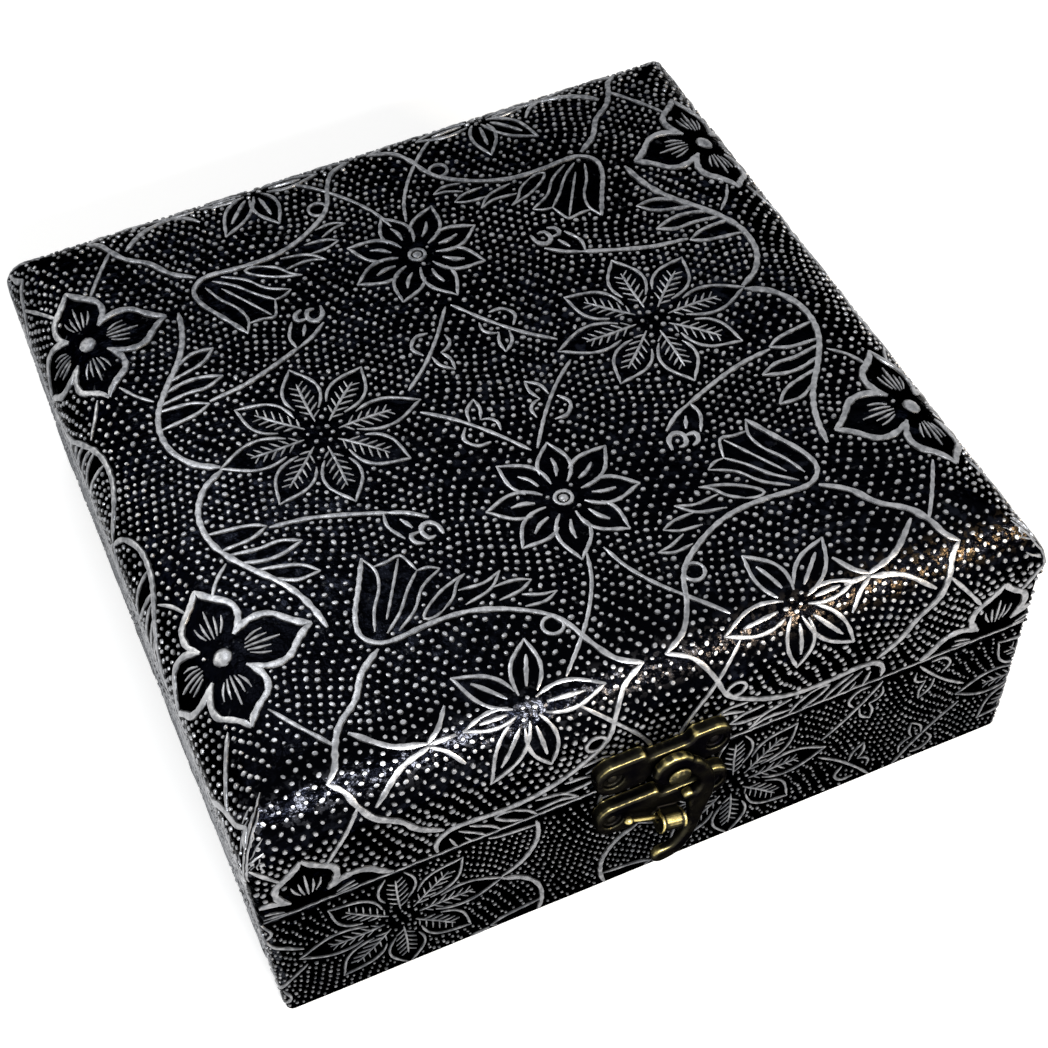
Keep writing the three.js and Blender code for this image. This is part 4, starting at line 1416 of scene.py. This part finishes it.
def felt_sheet():
    """The felt, rounded at its edges. What lies against the base is a little uneven."""
    node = "underside_felt"
    low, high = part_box(node)
    piece = block(node + "_cloth", low, high)
    edit(piece)
    choose("edges", lambda edge: is_upright(edge) or edge.calc_length() < MM * 1.5)
    bpy.ops.mesh.bevel(offset=MM, segments=3, affect="EDGES")
    cut_across(0, FELT_STEP, low.x, high.x)
    cut_across(1, FELT_STEP, low.y, high.y)
    bpy.ops.object.mode_set(mode="OBJECT")
    for vertex in piece.data.vertices:
        if vertex.co.z > (low.z + high.z) / 2:
            vertex.co.z -= FELT_WAVE * (1 + noise.noise(vertex.co * FELT_WAVE_SCALE))
    smooth(piece)
    dress(piece, BODY_OF[node], felt_finish(), "felt", node)


# Settings that a user would change
def length_setting(name, description, default):
    return bpy.props.FloatProperty(name=name, description=description, default=default, unit="LENGTH")


def color_setting(name, description, default):
    return bpy.props.FloatVectorProperty(
        name=name, description=description, default=default, subtype="COLOR")


def place_setting(name, description, default):
    return bpy.props.FloatVectorProperty(
        name=name, description=description, default=default, subtype="TRANSLATION", unit="LENGTH")


class KEEPSAKE_PG_sheet(bpy.types.PropertyGroup):
    """Sizes and colours of the embossed sheet"""

    shoulder_across: length_setting("Shoulder across", "Width of the lid's round shoulder", 14 * MM)
    shoulder_down: length_setting("Shoulder down", "Height of the lid's round shoulder", 13 * MM)
    corner_radius: length_setting("Corner radius", "Rounding of the upright corners", 1.8 * MM)
    relief_height: length_setting("Relief height", "How far the ornament stands up", 0.38 * MM)
    sheet_gauge: length_setting("Sheet gauge", "Thickness of the sheet", 0.3 * MM)
    turn_under: length_setting("Turned under", "Width of the fold under the base", 6 * MM)
    dent_step: length_setting("Dent spacing", "Spacing of the points that dents can move", 6 * MM)
    dent_depth: length_setting("Dent depth", "How uneven the pressed sheet lies", 0.06 * MM)
    ground: color_setting("Ground", "Black paint in the hollows", (0.0009, 0.001, 0.0016))
    ground_sheen: color_setting("Ground sheen", "Thin patches of the paint", (0.007, 0.008, 0.012))
    # The thin paint's cool left and warm right tints are painted light, copying the colour of the light
    # there.
    thin_paint: color_setting("Thin paint", "Specks on the shoulder's left", (0.034, 0.035, 0.041))
    thin_paint_in_warm_light: color_setting("Warm thin paint", "Specks on its right", (0.032, 0.023, 0.014))
    silver: color_setting("Silver", "Metal rubbed bare", (0.38, 0.385, 0.4))
    # Dull silver is less rubbed metal, and on the relief also the painted shade low down and behind.
    silver_dull_and_shaded: color_setting("Dull silver", "Metal less rubbed", (0.1, 0.105, 0.115))


class KEEPSAKE_PG_fittings(bpy.types.PropertyGroup):
    """Colours of the brass fittings"""

    dark: color_setting("Dark", "Brass darkened in the hollows", (0.0045, 0.004, 0.006))
    olive: color_setting("Olive", "Brass half darkened", (0.045, 0.042, 0.026))
    # Gold is rubbed brass, and also painted light on edges that face up.
    gold: color_setting("Gold", "Brass rubbed bright", (0.64, 0.53, 0.21))


class KEEPSAKE_PG_lining(bpy.types.PropertyGroup):
    """Sizes and colours of the velvet, the felt and the boards"""

    pad_step: length_setting("Pad spacing", "Spacing of the points of a lining", 5 * MM)
    edge_roll: length_setting("Edge roll", "Width over which the velvet rolls over its card", 2.5 * MM)
    velvet: color_setting("Velvet", "Pile seen straight on", (0.006, 0.006, 0.009))
    velvet_light: color_setting("Light velvet", "Pile brushed the other way", (0.035, 0.035, 0.045))
    felt: color_setting("Felt", "Felt between its fibres", (0.008, 0.008, 0.01))
    felt_light: color_setting("Light felt", "Felt fibres", (0.03, 0.03, 0.035))
    timber: color_setting("Timber", "Board between its grain", (0.5, 0.33, 0.19))
    timber_dark: color_setting("Timber grain", "The board's darker grain", (0.3, 0.17, 0.08))
    timber_stain: color_setting("Timber stain", "Black under the linings", (0.006, 0.005, 0.005))


class KEEPSAKE_PG_stage(bpy.types.PropertyGroup):
    """Camera and light"""

    camera_place: place_setting("Camera place", "Where the camera stands", (-0.08446, -0.23061, 0.31664))
    camera_aim: place_setting("Camera aim", "A point that the camera looks at", (-0.01915, -0.0395, 0.035))
    camera_roll: bpy.props.FloatProperty(
        name="Camera roll", description="Turn about the line of sight", default=math.radians(-5.188),
        subtype="ANGLE")
    lens: bpy.props.FloatProperty(
        name="Lens", description="Focal length in millimetres on the sensor", default=63.67)
    key_power: bpy.props.FloatProperty(
        name="Key power", description="The lamp in front, which lights the shoulder", default=3.0)
    fill_power: bpy.props.FloatProperty(
        name="Fill power", description="The soft lamp behind", default=0.45)
    room_light: bpy.props.FloatProperty(
        name="Room light", description="How brightly the white room lights the box", default=0.25)


# Operators: one for each piece or group of like pieces, and one for the stage
class KEEPSAKE_OT_lid_skin(bpy.types.Operator):
    """Makes the lid's black ground sheet with its round shoulders"""

    bl_idname = "keepsake.lid_skin"
    bl_label = "Lid skin"

    def execute(self, context):
        lid_skin()
        return {"FINISHED"}


class KEEPSAKE_OT_base_skin(bpy.types.Operator):
    """Makes the base's black ground sheet with its folded rims"""

    bl_idname = "keepsake.base_skin"
    bl_label = "Base skin"

    def execute(self, context):
        base_skin()
        return {"FINISHED"}


class KEEPSAKE_OT_lid_relief(bpy.types.Operator):
    """Presses the vines and dots into the lid's sheet"""

    bl_idname = "keepsake.lid_relief"
    bl_label = "Lid relief"

    def execute(self, context):
        lid_relief()
        return {"FINISHED"}


class KEEPSAKE_OT_base_relief(bpy.types.Operator):
    """Presses the vines and dots into the base's strip"""

    bl_idname = "keepsake.base_relief"
    bl_label = "Base relief"

    def execute(self, context):
        base_relief()
        return {"FINISHED"}


# How the latch's pieces are softened and rubbed. The first word that is in a node's name counts, and
# the last is in every name
LATCH_CASTINGS = {
    "nail": {"gain": 0.25},
    "rivet": {"gain": 0.5, "even": 0.32},
    "hook": {"smoothing": 40, "reach": 22, "gain": 4.0},
    "": {},
}


class KEEPSAKE_OT_latch(bpy.types.Operator):
    """Softens and colours the latch's plates, hook, rivet and pin"""

    bl_idname = "keepsake.latch"
    bl_label = "Swing hook latch"

    def execute(self, context):
        for node in brass_nodes("latch", "keeper"):
            casting = next(values for word, values in LATCH_CASTINGS.items() if word in node)
            cast_piece(node, **casting)
        return {"FINISHED"}


class KEEPSAKE_OT_hinges(bpy.types.Operator):
    """Softens and colours the back hinges and their nails"""

    bl_idname = "keepsake.hinges"
    bl_label = "Hinges"

    def execute(self, context):
        for node in brass_nodes("hinge"):
            cast_piece(node, voxel=0.18 * MM, smoothing=3, reach=8, gain=7.0)
        return {"FINISHED"}


class KEEPSAKE_OT_linings(bpy.types.Operator):
    """Makes the velvet linings of the base and the lid"""

    bl_idname = "keepsake.linings"
    bl_label = "Velvet linings"

    def execute(self, context):
        for node in sorted(name for name, slot in SLOT_OF.items() if slot == "velvet"):
            lining_pad(node)
        return {"FINISHED"}


class KEEPSAKE_OT_felt(bpy.types.Operator):
    """Makes the felt under the base"""

    bl_idname = "keepsake.felt"
    bl_label = "Underside felt"

    def execute(self, context):
        felt_sheet()
        return {"FINISHED"}


class KEEPSAKE_OT_timber(bpy.types.Operator):
    """Gives the boards inside the sheet their grain"""

    bl_idname = "keepsake.timber"
    bl_label = "Timber boards"

    def execute(self, context):
        for name, slot in SLOT_OF.items():
            if slot == "timber":
                board = frame["nodes"][name]
                board.data.materials.clear()
                board.data.materials.append(timber_finish())
        return {"FINISHED"}


SENSOR_WIDTH = 36
# The photo's width and height and the point where the line of sight meets it, in pixels
PHOTO_SIDE = 1048
SIGHT_PIXEL = (480, 650)
LAMP_AIM = (0, -0.05, 0.05)
# Each lamp's place, width and height, the setting of its power and its share of that, and its colour
LAMPS = {
    "key": ((-0.02, -0.52, 0.45), (0.24, 0.05), "key_power", 1.0, (0.95, 0.97, 1)),
    "side": ((0.29, -0.54, 0.35), (0.14, 0.05), "key_power", 0.8, (1, 0.85, 0.66)),
    "back": ((-0.1, 0.27, 0.6), (0.2, 0.2), "fill_power", 1.6, (0.95, 0.97, 1)),
    "left": ((-0.42, 0.42, 0.34), (0.3, 0.3), "fill_power", 2.0, (1, 0.98, 0.92)),
}


def soft_lamp(name, place, size, power, tint):
    data = bpy.data.lights.new(name, "AREA")
    data.shape = "RECTANGLE"
    data.size, data.size_y = size
    data.energy = power
    data.color = tint
    lamp = bpy.data.objects.new(name, data)
    bpy.context.scene.collection.objects.link(lamp)
    lamp.location = place
    lamp.rotation_mode = "QUATERNION"
    lamp.rotation_quaternion = (Vector(LAMP_AIM) - Vector(place)).to_track_quat("-Z", "Y")


def white_world(strength):
    """White to the camera and in reflections, and a softer light on the object."""
    world = bpy.data.worlds.new("white_room")
    world.use_nodes = True
    bpy.context.scene.world = world
    room = Nodes(world.node_tree)
    background = room.tree.nodes["Background"].inputs
    room.feed((1, 1, 1, 1), background["Color"])
    room.feed(room.span(room.seen(), 0.0, 1.0, strength, 1.0), background["Strength"])


def pale_floor():
    """A floor that looks as white as the room to the camera, though the lamps don't reach all of it."""
    put_down()
    bpy.ops.mesh.primitive_plane_add(size=6, location=(0, 0, 0))
    floor = bpy.context.object
    floor.name = "floor"
    finish = Finish("pale_floor")
    away = finish.node("ShaderNodeVectorMath", {0: finish.coords}, operation="LENGTH").outputs["Value"]
    glow = finish.span(away, 0.25, 1.1, 0.48, 0.77)
    finish.set(
        Base_Color=finish.blend(finish.speckle(3, 2, 0.3, 0.7), (0.9, 0.9, 0.9, 1), (0.93, 0.93, 0.93, 1)),
        Roughness=0.9,
        Emission_Color=(1, 1, 1, 1),
        Emission_Strength=finish.times(finish.seen(), glow),
    )
    floor.data.materials.append(finish.material)
    return floor


def set_camera(settings):
    data = bpy.data.cameras.new("camera")
    data.lens = settings.lens
    data.sensor_width = SENSOR_WIDTH
    data.shift_x = (PHOTO_SIDE / 2 - SIGHT_PIXEL[0]) / PHOTO_SIDE
    data.shift_y = (SIGHT_PIXEL[1] - PHOTO_SIDE / 2) / PHOTO_SIDE
    data.clip_start = 10 * MM
    camera = bpy.data.objects.new("camera", data)
    bpy.context.scene.collection.objects.link(camera)
    bpy.context.scene.camera = camera
    place, aim = Vector(settings.camera_place), Vector(settings.camera_aim)
    straight = (aim - place).to_track_quat("-Z", "Y").to_matrix()
    roll = Matrix.Rotation(settings.camera_roll, 3, "Z")
    camera.matrix_world = Matrix.Translation(place) @ (straight @ roll).to_4x4()


class KEEPSAKE_OT_stage(bpy.types.Operator):
    """Sets the floor, the lamps and the camera"""

    bl_idname = "keepsake.stage"
    bl_label = "Stage"

    def execute(self, context):
        settings = context.scene.keepsake_stage
        floor = pale_floor()
        white_world(settings.room_light)
        for name, (place, size, setting, share, tint) in LAMPS.items():
            soft_lamp(name, place, size, share * getattr(settings, setting), tint)
        set_camera(settings)
        context.scene.view_settings.view_transform = "Standard"
        return {"FINISHED"}


class KEEPSAKE_PT_panel(bpy.types.Panel):
    """Lists the pieces of the keepsake box"""

    bl_idname = "KEEPSAKE_PT_panel"
    bl_label = "Keepsake box"
    bl_space_type = "VIEW_3D"
    bl_region_type = "UI"
    bl_category = "Keepsake box"

    def draw(self, context):
        for operator in OPERATORS:
            self.layout.operator(operator.bl_idname)


OPERATORS = (
    KEEPSAKE_OT_lid_skin,
    KEEPSAKE_OT_base_skin,
    KEEPSAKE_OT_lid_relief,
    KEEPSAKE_OT_base_relief,
    KEEPSAKE_OT_latch,
    KEEPSAKE_OT_hinges,
    KEEPSAKE_OT_linings,
    KEEPSAKE_OT_felt,
    KEEPSAKE_OT_timber,
    KEEPSAKE_OT_stage,
)
GROUPS = {
    "keepsake_sheet": KEEPSAKE_PG_sheet,
    "keepsake_fittings": KEEPSAKE_PG_fittings,
    "keepsake_lining": KEEPSAKE_PG_lining,
    "keepsake_stage": KEEPSAKE_PG_stage,
}


def register():
    for group in GROUPS.values():
        bpy.utils.register_class(group)
    for name, group in GROUPS.items():
        setattr(bpy.types.Scene, name, bpy.props.PointerProperty(type=group))
    for operator in OPERATORS:
        bpy.utils.register_class(operator)
    bpy.utils.register_class(KEEPSAKE_PT_panel)


def unregister():
    bpy.utils.unregister_class(KEEPSAKE_PT_panel)
    for operator in reversed(OPERATORS):
        bpy.utils.unregister_class(operator)
    for name, group in GROUPS.items():
        delattr(bpy.types.Scene, name)
        bpy.utils.unregister_class(group)


def main():
    register()
    for operator in OPERATORS:
        group, name = operator.bl_idname.split(".")
        getattr(getattr(bpy.ops, group), name)()


if __name__ == "__main__":
    main()
